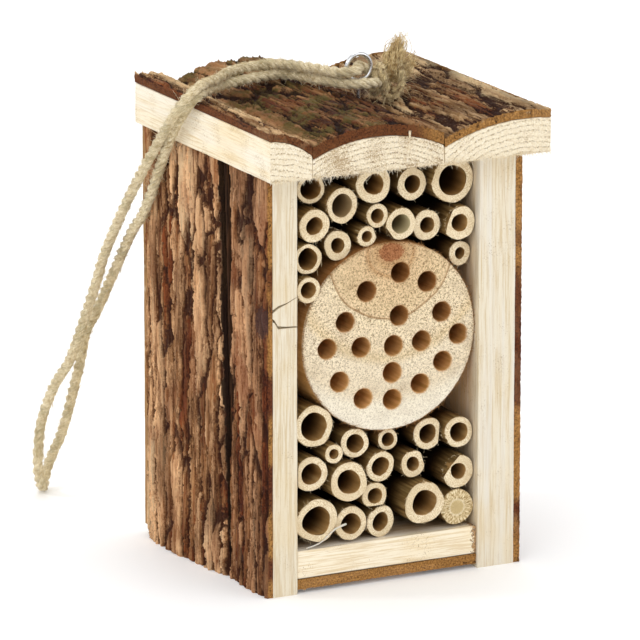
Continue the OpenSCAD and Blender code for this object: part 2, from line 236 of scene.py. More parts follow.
def copy_node(node, name, voxel):
    """A welded copy of a CAD node with even faces of that size, as the start of a new piece."""
    select_only(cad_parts[node])
    bpy.ops.object.duplicate()
    piece = rename(bpy.context.object, name)
    piece.parent = None
    for key in list(piece.keys()):
        del piece[key]
    piece.data.materials.clear()
    bpy.ops.mesh.customdata_custom_splitnormals_clear()
    weld(piece)
    apply_modifier(piece, "REMESH", mode="VOXEL", voxel_size=voxel * COARSE)
    return piece


def apply_modifier(piece, kind, **settings):
    select_only(piece)
    modifier = piece.modifiers.new(kind.lower(), kind)
    for key, value in settings.items():
        setattr(modifier, key, value)
    bpy.ops.object.modifier_apply(modifier=modifier.name)


def apply_nodes(piece, group, **inputs):
    """Runs a geometry node group on the piece and applies it."""
    select_only(piece)
    modifier = piece.modifiers.new(group.name, "NODES")
    modifier.node_group = group
    for item in group.interface.items_tree:
        key = item.name.lower().replace(" ", "_")
        if item.item_type == "SOCKET" and item.in_out == "INPUT" and key in inputs:
            modifier[item.identifier] = inputs[key]
    bpy.ops.object.modifier_apply(modifier=modifier.name)


def thin_to(piece, triangles):
    """Thins the mesh down to about that many triangles, keeping its relief."""
    count = sum(len(p.vertices) - 2 for p in piece.data.polygons)
    if count > triangles:
        apply_modifier(piece, "DECIMATE", ratio=triangles / count)


def join(piece, *others):
    select_only(piece)
    for other in others:
        other.select_set(True)
    bpy.ops.object.join()
    return piece


def finish_piece(piece, slot, nodes, *materials, smooth_below=50):
    """Gives the piece its materials and its place in the frame."""
    for material in materials:
        piece.data.materials.append(material)
    select_only(piece)
    bpy.ops.object.shade_smooth_by_angle(angle=math.radians(smooth_below))
    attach(piece, "root")
    if nodes:
        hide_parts(*nodes)
    return piece


def mesh_piece(name, points, faces, edges=()):
    mesh = bpy.data.meshes.new(name)
    mesh.from_pydata([tuple(p) for p in points], list(edges), [tuple(f) for f in faces])
    piece = bpy.data.objects.new(name, mesh)
    bpy.context.scene.collection.objects.link(piece)
    return piece


def unit_rows(v):
    return v / np.maximum(np.linalg.norm(v, axis=-1, keepdims=True), 1e-12)


def spokes(angle):
    """A direction square to Y for each angle."""
    return np.stack([np.cos(angle), np.zeros(len(angle)), np.sin(angle)], axis=1)


def fibres(name, paths, root_radius, tip_radius):
    """Many thin three-sided fibres, one along each row of paths (fibre, point, xyz), as one mesh."""
    paths = np.asarray(paths, float)
    count, length = paths.shape[:2]
    run = unit_rows(np.gradient(paths, axis=1))
    side = unit_rows(np.cross(run, unit_rows(np.array([0.31, 0.57, 0.76]))))
    over = np.cross(run, side)
    taper = np.linspace(root_radius, tip_radius, length)[None, :, None]
    rings = []
    for corner in range(3):
        angle = corner * math.tau / 3
        rings.append(paths + taper * (math.cos(angle) * side + math.sin(angle) * over))
    points = np.stack(rings, axis=2).reshape(-1, 3)
    faces = []
    for fibre in range(count):
        first = fibre * length * 3
        for ring in range(length - 1):
            base = first + ring * 3
            for corner in range(3):
                after = (corner + 1) % 3
                faces.append((base + corner, base + after, base + 3 + after, base + 3 + corner))
        last = first + (length - 1) * 3
        faces.append((first + 2, first + 1, first))
        faces.append((last, last + 1, last + 2))
    return mesh_piece(name, points, faces)


def hairs(name, roots, directions, lengths, radius, droop, random):
    """Short curved fibres that stand on roots and bend by droop."""
    steps = np.linspace(0, 1, HAIR_RINGS)[None, :, None]
    bend = random.normal(0, 0.45, directions.shape) + np.asarray(droop)
    reach = lengths[:, None, None]
    paths = roots[:, None, :] + directions[:, None, :] * steps * reach
    paths = paths + bend[:, None, :] * (steps**2) * reach
    return fibres(name, paths, radius, radius * 0.35)


# ---------------------------------------------------------------- node tree helper


def plain_value(value):
    """The value as it is, or as a colour where it is a web code."""
    return srgb(value) if isinstance(value, str) and value.startswith("#") else value


class Tree:
    """Adds nodes to a tree. A keyword names an input, and a socket given as its value is linked."""

    def __init__(self, tree):
        self.tree = tree

    def put(self, socket, value):
        if isinstance(value, bpy.types.NodeSocket):
            self.tree.links.new(value, socket)
        else:
            socket.default_value = plain_value(value)

    def add(self, kind, settings=None, **inputs):
        node = self.tree.nodes.new(kind)
        for key, value in (settings or {}).items():
            setattr(node, key, value)
        for key, value in inputs.items():
            self.put(node.inputs[key.replace("_", " ")], value)
        return node

    def math(self, operation, *values, clamp=False):
        node = self.add("ShaderNodeMath", {"operation": operation, "use_clamp": clamp})
        for socket, value in zip(node.inputs, values):
            self.put(socket, value)
        return node.outputs[0]

    def times(self, a, b):
        return self.math("MULTIPLY", a, b)

    def plus(self, a, b):
        return self.math("ADD", a, b)

    def minus(self, a, b):
        return self.math("SUBTRACT", a, b)

    def times_plus(self, a, factor, b):
        return self.math("MULTIPLY_ADD", a, factor, b)

    def vector(self, operation, *values):
        node = self.add("ShaderNodeVectorMath", {"operation": operation})
        sockets = [node.inputs[0], node.inputs["Scale"]] if operation == "SCALE" else node.inputs
        for socket, value in zip(sockets, values):
            self.put(socket, value)
        return node.outputs["Value" if operation in ("DOT_PRODUCT", "LENGTH", "DISTANCE") else "Vector"]

    def dot(self, a, b):
        return self.vector("DOT_PRODUCT", a, b)

    def scaled(self, vector, factor):
        return self.vector("SCALE", vector, factor)

    def parts(self, vector):
        return self.add("ShaderNodeSeparateXYZ", Vector=vector).outputs

    def position(self):
        """The point's position in a geometry group."""
        return self.add("GeometryNodeInputPosition").outputs[0]

    def normal(self):
        """The point's normal in a geometry group."""
        return self.add("GeometryNodeInputNormal").outputs[0]

    def remap(self, value, low, high, new_low=0.0, new_high=1.0):
        node = self.add(
            "ShaderNodeMapRange", {"interpolation_type": "SMOOTHSTEP"},
            Value=value, From_Min=low, From_Max=high, To_Min=new_low, To_Max=new_high,
        )
        return node.outputs["Result"]

    def noise(self, vector, scale, detail=2.0, roughness=0.5, output="Fac"):
        node = self.add(
            "ShaderNodeTexNoise", Vector=vector, Scale=scale, Detail=detail, Roughness=roughness
        )
        return node.outputs[output]

    def mix(self, factor, a, b, blend="MIX"):
        node = self.add("ShaderNodeMix", {"data_type": "RGBA", "blend_type": blend})
        self.put(node.inputs[0], factor)
        self.put(node.inputs[6], a)
        self.put(node.inputs[7], b)
        return node.outputs[2]

    def tinted(self, colour, tint):
        return self.mix(1.0, colour, tint, "MULTIPLY")

    def ramp(self, factor, *stops):
        node = self.add("ShaderNodeValToRGB", Fac=factor)
        elements = node.color_ramp.elements
        while len(elements) < len(stops):
            elements.new(0.5)
        for element, (place, colour) in zip(elements, stops):
            element.position = place
            element.color = plain_value(colour)
        return node.outputs["Color"]

    def stretched(self, position, grain, stretch):
        """The position shortened along the grain, so that a pattern on it runs along the grain."""
        part = self.times(self.dot(position, grain), 1 - 1 / stretch)
        return self.vector("SUBTRACT", position, self.scaled(grain, part))


def geometry_group(name, *sockets):
    """A geometry node group with those inputs besides its geometry, and its helper and input node."""
    tree = bpy.data.node_groups.new(name, "GeometryNodeTree")
    tree.interface.new_socket(name="Geometry", in_out="INPUT", socket_type="NodeSocketGeometry")
    for label, kind in sockets:
        tree.interface.new_socket(name=label, in_out="INPUT", socket_type="NodeSocket" + kind)
    tree.interface.new_socket(name="Geometry", in_out="OUTPUT", socket_type="NodeSocketGeometry")
    return tree, Tree(tree), tree.nodes.new("NodeGroupInput").outputs


def move_and_store(t, tree, geometry, offset, **attributes):
    """Ends a geometry group: stores the named values on the points and moves them by offset."""
    for name, value in attributes.items():
        store = t.add(
            "GeometryNodeStoreNamedAttribute", {"data_type": "FLOAT", "domain": "POINT"},
            Geometry=geometry, Name=name, Value=value,
        )
        geometry = store.outputs["Geometry"]
    moved = t.add("GeometryNodeSetPosition", Geometry=geometry, Offset=offset)
    tree.links.new(moved.outputs["Geometry"], tree.nodes.new("NodeGroupOutput").inputs[0])
    return tree


def seeded_millimetres(t, seed):
    """The point's position in millimetres, moved by the seed so that no two pieces match."""
    shift = t.add(
        "ShaderNodeCombineXYZ", X=t.times(seed, 61.7), Y=t.times(seed, 37.3), Z=t.times(seed, 83.1)
    )
    return t.vector("ADD", t.scaled(t.position(), 1 / MM), shift.outputs[0])


def bark_relief_group():
    """Plates, cracks, flakes and fibres along the grain, raised outwards on the bark's outer face."""
    tree, t, given = geometry_group(
        "bark_relief", ("Grain", "Vector"), ("Outward", "Vector"), ("Wane", "Vector"), ("Relief", "Float"),
        ("Plate", "Float"), ("Stretch", "Float"), ("Level", "Float"), ("Swell", "Float"), ("Seed", "Float"),
    )
    place = seeded_millimetres(t, given["Seed"])
    half = (0.5, 0.5, 0.5)
    drift = t.vector("SUBTRACT", t.noise(place, 0.05, 2, 0.5, "Color"), half)
    jag = t.vector("SUBTRACT", t.noise(place, 0.55, 3, 0.6, "Color"), half)
    bent = t.vector("ADD", place, t.scaled(drift, 9.0))
    bent = t.vector("ADD", bent, t.scaled(jag, 1.7))
    fine = t.math("DIVIDE", 1.0, given["Plate"])
    along = t.dot(bent, given["Grain"])

    def drawn_out(stretch):
        part = t.times(along, t.minus(1.0, t.math("DIVIDE", 1.0, stretch)))
        return t.vector("SUBTRACT", bent, t.scaled(given["Grain"], part))

    def cells(stretch, scale):
        drawn = drawn_out(stretch)
        edge = t.add("ShaderNodeTexVoronoi", {"feature": "DISTANCE_TO_EDGE"}, Vector=drawn, Scale=scale)
        cell = t.add("ShaderNodeTexVoronoi", {"feature": "F1"}, Vector=drawn, Scale=scale)
        value = t.add("FunctionNodeSeparateColor", Color=cell.outputs["Color"]).outputs[0]
        return edge.outputs["Distance"], value

    wide, cell = cells(given["Stretch"], fine)
    narrow, sliver = cells(t.times(given["Stretch"], 1.4), t.times(fine, 2.7))
    deep = t.remap(wide, 0.0, 0.1)
    shallow = t.remap(narrow, 0.0, 0.12)
    layers = t.times(t.noise(drawn_out(given["Stretch"]), 0.17, 4, 0.6), 8.0)
    flake = t.math("DIVIDE", t.math("FLOOR", layers), 8.0)
    threads = t.noise(t.stretched(place, given["Grain"], 26.0), 1.3, 3, 0.65)
    height = t.times(deep, t.times_plus(cell, 0.16, 0.2))
    height = t.times_plus(shallow, t.times_plus(sliver, 0.1, 0.1), height)
    height = t.times_plus(flake, 0.62, height)
    height = t.times_plus(threads, 0.14, height)
    height = t.times_plus(t.noise(place, 0.04, 2), 0.16, height)
    height = t.math("SUBTRACT", height, 0.12, clamp=True)
    normal = t.normal()
    facing = t.dot(normal, given["Outward"])
    outer = t.remap(facing, 0.1, 0.7)
    rise = t.times(t.minus(height, given["Level"]), given["Relief"])
    back = t.parts(t.position())["Y"]
    swell = t.times(t.remap(back, SWELL_START, SWELL_FULL), given["Swell"])
    rise = t.plus(rise, swell)
    offset = t.scaled(given["Outward"], t.times(rise, outer))
    ragged = t.times(t.minus(t.noise(place, 0.6, 3), 0.55), 1.3 * MM)
    rim = t.times(ragged, t.minus(1.0, outer))
    skin = t.remap(facing, -0.5, -0.1)
    offset = t.vector("ADD", offset, t.scaled(normal, t.times(rim, skin)))
    crack = t.times(t.remap(wide, 0.0, 0.14), t.times_plus(shallow, 0.6, 0.4))
    # Painted shade: marks the faces turned towards the gaps between the boards, to be painted dark
    wane = t.remap(t.dot(normal, given["Wane"]), 0.3, 0.6)
    return move_and_store(
        t, tree, given["Geometry"], offset, height=height, cell=cell, crack=crack, wane=wane,
        cut=t.minus(1.0, outer),
    )


def sawn_relief_group():
    """Saw-rough wood: waviness and fibres, with the distance from the pith kept for its rings."""
    tree, t, given = geometry_group(
        "sawn_relief", ("Grain", "Vector"), ("Pith", "Vector"), ("Wane", "Vector"), ("Rough", "Float"),
        ("Wave", "Float"), ("Seed", "Float"),
    )
    place = seeded_millimetres(t, given["Seed"])
    position = t.position()
    arm = t.vector("SUBTRACT", position, given["Pith"])
    arm = t.vector("SUBTRACT", arm, t.scaled(given["Grain"], t.dot(arm, given["Grain"])))
    ring = t.math("DIVIDE", t.vector("LENGTH", arm), MM)
    ring = t.plus(ring, t.times(t.noise(place, 0.06, 2), 3.0))
    normal = t.normal()
    facing = t.math("ABSOLUTE", t.dot(normal, given["Grain"]))
    end = t.remap(facing, 0.5, 0.85)
    # Marks the faces turned the given way for a dark colour: the real waney side of the back board, and
    # painted shade in the gaps between the wall boards and under the floor board
    wane = t.remap(t.dot(normal, given["Wane"]), 0.3, 0.6)
    threads = t.noise(t.stretched(place, given["Grain"], 14.0), 1.5, 3, 0.6)
    fuzz = t.noise(place, 1.7, 3, 0.7)
    grit = t.minus(t.plus(t.times(threads, 0.5), t.times(fuzz, 0.5)), 0.5)
    rise = t.times(grit, given["Rough"])
    broad = t.minus(t.noise(t.stretched(place, given["Grain"], 3.0), 0.07, 2), 0.5)
    rise = t.plus(rise, t.times(broad, given["Wave"]))
    return move_and_store(
        t, tree, given["Geometry"], t.scaled(normal, rise), ring=ring, end=end, wane=wane
    )


def sawn_relief():
    """The group for sawn wood, built the first time it is asked for."""
    return bpy.data.node_groups.get("sawn_relief") or sawn_relief_group()


def cane_relief_group():
    """Slightly oval canes with rough sawn ends."""
    tree, t, given = geometry_group(
        "cane_relief", ("Centre", "Vector"), ("Face", "Float"), ("Radius", "Float"), ("Seed", "Float")
    )
    place = seeded_millimetres(t, given["Seed"])
    position = t.position()
    flat = t.vector("MULTIPLY", place, (1.0, 0.04, 1.0))
    wander = t.vector("SUBTRACT", t.noise(flat, 0.09, 1, 0.5, "Color"), (0.5, 0.5, 0.5))
    wander = t.vector("MULTIPLY", wander, (1.0, 0.0, 1.0))
    offset = t.scaled(wander, t.times(given["Radius"], 0.28))
    depth = t.minus(t.parts(position)["Y"], given["Face"])
    near_face = t.remap(depth, 0.0, 0.6 * MM, 1.0, 0.0)
    grit = t.minus(t.noise(place, 1.5, 3, 0.7), 0.5)
    tilt = t.minus(t.noise(place, 0.07, 1), 0.5)
    push = t.plus(t.times(grit, 0.5 * MM), t.times(tilt, 1.6 * MM))
    offset = t.vector("ADD", offset, t.scaled((0.0, 1.0, 0.0), t.times(push, near_face)))
    return move_and_store(t, tree, given["Geometry"], offset, grit=grit)


# ---------------------------------------------------------------- materials


def material(name, roughness, **sockets):
    """A new material, its tree helper and its Principled BSDF."""
    made = bpy.data.materials.new(name)
    made.use_nodes = True
    t = Tree(made.node_tree)
    shader = made.node_tree.nodes["Principled BSDF"]
    t.put(shader.inputs["Roughness"], roughness)
    for key, value in sockets.items():
        shader.inputs[key.replace("_", " ")].default_value = value
    return made, t, shader


def attribute(t, name):
    return t.add("ShaderNodeAttribute", {"attribute_name": name}).outputs["Fac"]


def object_millimetres(t):
    position = t.add("ShaderNodeTexCoord").outputs["Object"]
    return t.scaled(position, 1 / MM)


def shader_group(name, inputs, outputs):
    tree = bpy.data.node_groups.new(name, "ShaderNodeTree")
    for label, kind in inputs:
        tree.interface.new_socket(name=label, in_out="INPUT", socket_type="NodeSocket" + kind)
    for label, kind in outputs:
        tree.interface.new_socket(name=label, in_out="OUTPUT", socket_type="NodeSocket" + kind)
    given, out = tree.nodes.new("NodeGroupInput").outputs, tree.nodes.new("NodeGroupOutput").inputs
    return tree, Tree(tree), given, out


def threads_group():
    """Fine threads along the grain: Scale is threads per millimetre across it."""
    tree, t, given, out = shader_group(
        "threads", [("Grain", "Vector"), ("Scale", "Float"), ("Stretch", "Float")],
        [("Threads", "Float"), ("Patches", "Float")],
    )
    place = object_millimetres(t)
    along = t.dot(place, given["Grain"])
    part = t.times(along, t.minus(1.0, t.math("DIVIDE", 1.0, given["Stretch"])))
    drawn = t.vector("SUBTRACT", place, t.scaled(given["Grain"], part))
    t.put(out["Threads"], t.noise(drawn, given["Scale"], 5, 0.65))
    t.put(out["Patches"], t.noise(drawn, t.times(given["Scale"], 0.12), 3, 0.55))
    return tree


def flecks_group():
    """Tiny dark flecks of torn fibre on sawn end grain."""
    tree, t, given, out = shader_group(
        "flecks", [("Scale", "Float"), ("Amount", "Float")], [("Flecks", "Float")]
    )
    place = object_millimetres(t)
    dots = t.noise(place, given["Scale"], 2, 0.7)
    clumps = t.noise(place, 0.12, 2)
    level = t.plus(dots, t.times(t.minus(clumps, 0.5), 0.5))
    start = t.minus(0.72, given["Amount"])
    node = t.add("ShaderNodeMapRange", Value=level, From_Min=start, From_Max=t.plus(start, 0.1))
    t.put(out["Flecks"], node.outputs["Result"])
    return tree


def place_threads(t, **inputs):
    """Places the shared threads group, which is built the first time."""
    tree = bpy.data.node_groups.get("threads") or threads_group()
    return t.add("ShaderNodeGroup", {"node_tree": tree}, **inputs).outputs


def place_flecks(t, **inputs):
    """Places the shared flecks group, which is built the first time."""
    tree = bpy.data.node_groups.get("flecks") or flecks_group()
    return t.add("ShaderNodeGroup", {"node_tree": tree}, **inputs).outputs["Flecks"]


def paint(t, shader, colour):
    t.put(shader.inputs["Base Color"], colour)


def bump(t, shader, height, strength, distance):
    node = t.add("ShaderNodeBump", Height=height, Strength=strength, Distance=distance)
    t.put(shader.inputs["Normal"], node.outputs["Normal"])


def bark_material(
    name, grain, moss=0.0, shade=None, rust=0.35, contrast=1.1, tint=None, knot=None, orange=None,
    stringy=1.4,
):
    """Stringy bark: a tone for each strip and plate, dark cracks and pale ridges that are partly painted
    shade and painted highlight, and rusty cut edges.

    moss, rust, contrast and stringy set how much of each shows. shade is a ramp from side to side, knot
    the middle of a dark knot, and orange the two X between which the cut edge turns from dark to orange.
    """
    made, t, shader = material(name, 0.85, Specular_IOR_Level=0.2)
    look = colours()
    streak = place_threads(t, Grain=grain, Scale=1.15, Stretch=24.0)["Threads"]
    strip = place_threads(t, Grain=grain, Scale=0.3, Stretch=15.0)["Threads"]
    height, cut, cell, crack, wane = (attribute(t, n) for n in ("height", "cut", "cell", "crack", "wane"))
    place = object_millimetres(t)
    parts = t.parts(place)
    crumbs = t.noise(place, 1.3, 3, 0.7)
    tone = t.ramp(
        t.plus(strip, t.times_plus(cell, 0.3, -0.15)),
        (0.3, "#683619"), (0.42, look.bark_mid[:]), (0.5, "#a5805c"), (0.6, look.bark_top[:]),
        (0.76, "#9c8466"),
    )
    level = t.plus(height, t.times(t.minus(streak, 0.5), stringy))
    level = t.plus(level, t.times(t.minus(crumbs, 0.5), 0.45))
    level = t.times_plus(level, contrast, 0.58 - 0.58 * contrast)
    # Partly the bark's own tone and partly painted light: low bark is darkened into painted shade in the
    # furrows, raised bark brightened into painted highlight on the ridges
    value = t.ramp(
        level, (0.16, (0.16, 0.07, 0.035, 1)), (0.42, (0.4, 0.27, 0.18, 1)), (0.58, (0.86, 0.8, 0.74, 1)),
        (0.84, (1.5, 1.47, 1.42, 1)),
    )
    colour = t.tinted(tone, value)
    worn = t.noise(place, 0.05, 3)
    colour = t.mix(t.remap(worn, 0.5, 0.66, 0.0, rust), colour, "#7c3f1e")
    weathered = t.ramp(
        t.noise(t.stretched(place, grain, 3.0), 0.075, 3, 0.6), (0.38, (0.5, 0.45, 0.42, 1)),
        (0.52, (0.95, 0.95, 0.97, 1)), (0.64, (1.15, 1.17, 1.2, 1)),
    )
    colour = t.tinted(colour, weathered)
    if moss:
        green = t.times(t.remap(t.noise(place, 0.09, 4, 0.7), 0.46, 0.6), moss)
        green = t.times(green, t.remap(parts["X"], *MOSS_OUT, 1.0, 0.0))
        green = t.times(green, t.remap(parts["X"], *MOSS_IN))
        colour = t.mix(green, colour, t.mix(streak, "#3d3a18", "#a39a5c"))
    # The cracks take the furrow colour: partly the bark's own dark colour, partly painted shade
    colour = t.mix(t.remap(crack, 0.0, 0.45, 0.88, 0.0), colour, look.bark_deep[:])
    if tint:
        colour = t.tinted(colour, tint)
    rusty = t.remap(t.noise(place, 0.05, 1), 0.42, 0.58)
    if orange:
        rusty = t.remap(t.times_plus(rusty, 5.0, parts["X"]), orange[0], orange[1], 0.1, 1.0)
    raw = t.mix(rusty, "#66341a", "#b28145")
    crumbled = t.ramp(
        t.noise(place, 1.4, 5, 0.8), (0.37, (0.22, 0.18, 0.15, 1)), (0.5, (0.8, 0.78, 0.76, 1)),
        (0.63, (1.3, 1.3, 1.3, 1)),
    )
    raw = t.tinted(raw, crumbled)
    if shade:
        dim = t.ramp(t.times_plus(parts["X"], 0.008, 0.5), *shade)
        colour = t.tinted(colour, dim)
    if knot:
        arm = t.vector("MULTIPLY", t.vector("SUBTRACT", place, knot), (0.1, 0.2, 0.13))
        off = t.times_plus(t.minus(crumbs, 0.5), 1.3, t.vector("LENGTH", arm))
        gnarl = t.mix(crumbs, "#24110f", "#66483f")
        colour = t.mix(t.remap(off, 0.7, 1.0, 0.85, 0.0), colour, gnarl)
    colour = t.mix(t.times(cut, 0.9), colour, raw)
    # Painted shade: the faces in the gaps between the wall boards are painted near black
    colour = t.mix(t.times(wane, 0.93), colour, "#20120a")
    paint(t, shader, colour)
    bump(t, shader, t.times_plus(crumbs, 0.25, streak), 1.0, 0.8 * MM)
    return made


def wood_material(
    name, grain, flecks=0.0, spacing=3.6, dashes=0.0, grey=0.3, lift=1.0,
    wane_tones=("#1c0f08", "#5c3b22"), inward_darkening=None, crumble=None,
):
    """Sawn softwood: straight grain on the faces, rings, torn dashes and flecks on the ends.

    flecks, dashes and grey set how much of each shows, spacing is the width of a ring, and lift brightens
    the wood. A colour given for the wood behind the front darkens it there more with depth, and crumble is
    the X past which rind shows.
    """
    made, t, shader = material(name, 0.68, Specular_IOR_Level=0.25)
    look = colours()
    grains = place_threads(t, Grain=grain, Scale=1.5, Stretch=30.0)
    ring, end, wane = (attribute(t, n) for n in ("ring", "end", "wane"))
    place = object_millimetres(t)
    waver = t.minus(t.noise(place, 0.45, 3, 0.6), 0.5)
    band = t.math("FRACT", t.times_plus(waver, 1.1, t.math("DIVIDE", ring, spacing)))
    black, white = (0, 0, 0, 1), (1, 1, 1, 1)
    late = t.ramp(band, (0.0, black), (0.6, (0.1, 0.1, 0.1, 1)), (0.85, white), (1.0, black))
    face = t.mix(t.remap(grains["Threads"], 0.44, 0.62, 0.0, 0.8), look.wood[:], look.wood_grain[:])
    face = t.mix(t.remap(grains["Patches"], 0.42, 0.62, 0.0, grey), face, "#efe9dc")
    face = t.mix(t.remap(t.noise(place, 0.03, 3), 0.5, 0.7, 0.0, 0.3), face, "#e9cf9c")
    fuzz = t.noise(place, 1.5, 4, 0.75)
    rings = t.mix(t.times(late, 0.5), look.wood[:], look.wood_grain[:])
    rings = t.mix(t.remap(fuzz, 0.42, 0.68, 0.0, 0.6), rings, "#cdb68e")
    if dashes:
        torn = t.remap(t.noise(place, 1.2, 3, 0.75), 0.48, 0.56, 0.0, dashes)
        rings = t.mix(t.times(torn, late), rings, "#6f5634")
        rings = t.mix(t.remap(t.noise(place, 1.9, 3, 0.7), 0.54, 0.64, 0.0, 0.6), rings, "#fffaf0")
    colour = t.mix(end, face, rings)
    if flecks:
        spots = place_flecks(t, Scale=2.1, Amount=flecks)
        colour = t.mix(t.times(spots, 0.7), colour, "#9a7a4e")
    if lift != 1.0:
        colour = t.tinted(colour, (lift, lift * 1.01, lift * 1.04, 1))
    # Darker and browner with depth behind the front of the walls and floor, streaked along the grain
    if inward_darkening:
        depth = t.parts(place)["Y"]
        streaky = t.remap(grains["Threads"], 0.36, 0.56, 1.0, 0.55)
        inward_mask = t.times(t.remap(depth, INWARD_DARK_START, INWARD_DARK_FULL), streaky)
        colour = t.mix(inward_mask, colour, t.tinted(colour, inward_darkening))
    if crumble:
        across = t.parts(place)["X"]
        torn = t.times_plus(t.minus(t.noise(place, 0.8, 4, 0.7), 0.5), 9.0, across)
        rind = t.mix(t.remap(fuzz, 0.4, 0.6), "#4b2a13", "#b98d58")
        colour = t.mix(t.remap(torn, crumble, crumble + 0.6, 0.0, 0.9), colour, rind)
    # The back board's waney side keeps its real colour; the default tones paint shade on the wall boards'
    # faces in the gaps and under the floor board
    dark = t.ramp(grains["Threads"], (0.35, wane_tones[0]), (0.65, wane_tones[1]))
    colour = t.mix(wane, colour, dark)
    paint(t, shader, colour)
    bump(t, shader, t.mix(end, grains["Threads"], fuzz), 0.5, 0.6 * MM)
    return made


def log_material(centre, radius):
    """The log's face: rings round a knot at its top, and pale and dark speckles that are fainter towards the
    bottom.
    """
    made, t, shader = material("log_end_grain", 0.7, Specular_IOR_Level=0.2)
    ring, end = attribute(t, "ring"), attribute(t, "end")
    place = object_millimetres(t)
    parts = t.parts(place)
    arm = t.vector("MULTIPLY", t.vector("SUBTRACT", place, tuple(centre / MM)), (1, 0, 1))
    edge = t.remap(t.vector("LENGTH", arm), 0.9 * radius / MM, 0.93 * radius / MM)
    rim = t.times(t.remap(parts["Y"], LOG_RIM_START, LOG_RIM_END, 1.0, 0.0), edge)
    end = t.math("MAXIMUM", end, rim)
    colour = t.ramp(
        t.math("DIVIDE", ring, 80.0), (0.04, "#b58a5c"), (0.1, "#c9a67a"), (0.13, "#d4b48a"),
        (0.145, "#c49d70"), (0.17, "#dcc097"), (0.32, "#e0c8a0"), (0.352, "#e2caa4"), (0.36, "#a37e52"),
        (0.368, "#ecdbba"), (0.5, "#ebdabb"), (0.56, "#e2cda6"), (0.6, "#efe1c6"), (0.74, "#e9d9bc"),
        (0.8, "#f3e9d3"), (0.95, "#f6eedb"),
    )
    fuzz = t.noise(place, 1.9, 4, 0.8)
    coarse = t.noise(place, 1.0, 3, 0.7)
    grain = t.plus(t.times(fuzz, 0.7), t.times(coarse, 0.3))
    shade = t.ramp(
        grain, (0.41, (0.3, 0.23, 0.16, 1)), (0.465, (0.72, 0.66, 0.58, 1)), (0.53, (1.2, 1.2, 1.2, 1))
    )
    bottom, middle = (centre.z - 0.8 * radius) / MM, (centre.z + 0.2 * radius) / MM
    low = t.remap(parts["Z"], bottom, middle, 0.45, 1.0)
    colour = t.mix(low, colour, t.tinted(colour, shade))
    spots = place_flecks(t, Scale=1.9, Amount=0.1)
    colour = t.mix(t.times(spots, 0.6), colour, "#86643e")
    knot_x = t.math("DIVIDE", t.minus(parts["X"], centre.x / MM + LOG_KNOT_X), 5.6)
    knot_z = t.math("DIVIDE", t.minus(parts["Z"], centre.z / MM + LOG_KNOT_Z), 3.9)
    off = t.math("SQRT", t.plus(t.times(knot_x, knot_x), t.times(knot_z, knot_z)))
    off = t.plus(off, t.times(t.minus(coarse, 0.5), 0.9))
    knot = t.mix(t.remap(fuzz, 0.35, 0.65), "#743f20", "#b97c50")
    colour = t.mix(t.remap(off, 0.88, 1.05, 0.95, 0.0), colour, knot)
    streaks = t.noise(t.vector("MULTIPLY", place, (1.0, 0.06, 1.0)), 0.6, 4, 0.6)
    side = t.ramp(streaks, (0.3, "#a2763f"), (0.5, "#b78b54"), (0.72, "#c99f69"))
    # Painted light: the walls of the holes are lightened low on the log and darkened high up
    painted_hole_light = t.remap(parts["Z"], centre.z / MM - 32, centre.z / MM + 30, 1.5, 0.8)
    painted_hole_light = t.add(
        "ShaderNodeCombineColor", Red=painted_hole_light, Green=t.times_plus(painted_hole_light, 1.25, -0.37),
        Blue=t.times_plus(painted_hole_light, 1.43, -0.62),
    )
    side = t.tinted(side, painted_hole_light.outputs[0])
    colour = t.mix(end, side, colour)
    paint(t, shader, colour)
    bump(t, shader, fuzz, 0.7, 0.7 * MM)
    return made


def paint_depth_shade(t, colour, start, keep):
    """Paints shade into a colour with depth from start, down to the share that is kept at the back."""
    depth = t.parts(object_millimetres(t))["Y"]
    shade = t.remap(depth, start, start + DARK_REACH, 1.0, keep)
    green, blue = t.math("POWER", shade, 1.12), t.math("POWER", shade, 1.25)
    return t.tinted(colour, t.add("ShaderNodeCombineColor", Red=shade, Green=green, Blue=blue).outputs[0])


def bore_material(name, low, middle, high, keep):
    """The inside of a cane, with painted shade that darkens it with depth."""
    bore, t, shader = material(name, 0.55, Specular_IOR_Level=0.3)
    place = object_millimetres(t)
    streak = t.noise(t.vector("MULTIPLY", place, (1.0, 0.08, 1.0)), 0.35, 3, 0.5)
    colour = t.ramp(streak, (0.3, low), (0.55, middle), (0.8, high))
    # Painted shade: the bore darkens with depth behind the canes' mouths
    paint(t, shader, paint_depth_shade(t, colour, CANE_MOUTH, keep))
    bump(t, shader, streak, 0.15, 0.3 * MM)
    return bore


def cane_materials():
    """The cane's skin, its sawn end and its bore."""
    look = colours()
    skin, t, shader = material("cane_skin", 0.5, Specular_IOR_Level=0.35)
    place = object_millimetres(t)
    streak = t.noise(t.vector("MULTIPLY", place, (1.0, 0.04, 1.0)), 0.8, 5, 0.6)
    blotch = t.noise(t.vector("MULTIPLY", place, (1.0, 0.4, 1.0)), 0.12, 4, 0.6)
    colour = t.ramp(streak, (0.3, "#4c3518"), (0.5, "#84673b"), (0.72, "#b09461"))
    colour = t.mix(t.remap(blotch, 0.45, 0.7, 0.0, 0.6), colour, "#6e5a34")
    # Painted shade: the skin darkens with depth behind the canes' mouths
    paint(t, shader, paint_depth_shade(t, colour, CANE_MOUTH + 0.3, 0.06))
    bump(t, shader, streak, 0.3, 0.4 * MM)
    end, t, shader = material("cane_end", 0.78, Specular_IOR_Level=0.15)
    place = object_millimetres(t)
    dots = t.noise(place, 2.2, 4, 0.75)
    tint = t.noise(place, 0.1, 2)
    colour = t.ramp(dots, (0.34, "#b09468"), (0.46, look.cane[:]), (0.6, "#faeed2"))
    colour = t.mix(t.remap(tint, 0.42, 0.6, 0.0, 0.4), colour, "#d0b88f")
    paint(t, shader, colour)
    bump(t, shader, dots, 0.6, 0.5 * MM)
    bore = bore_material("cane_bore", "#94703f", "#b18a55", "#c9a872", 0.16)
    return skin, end, bore


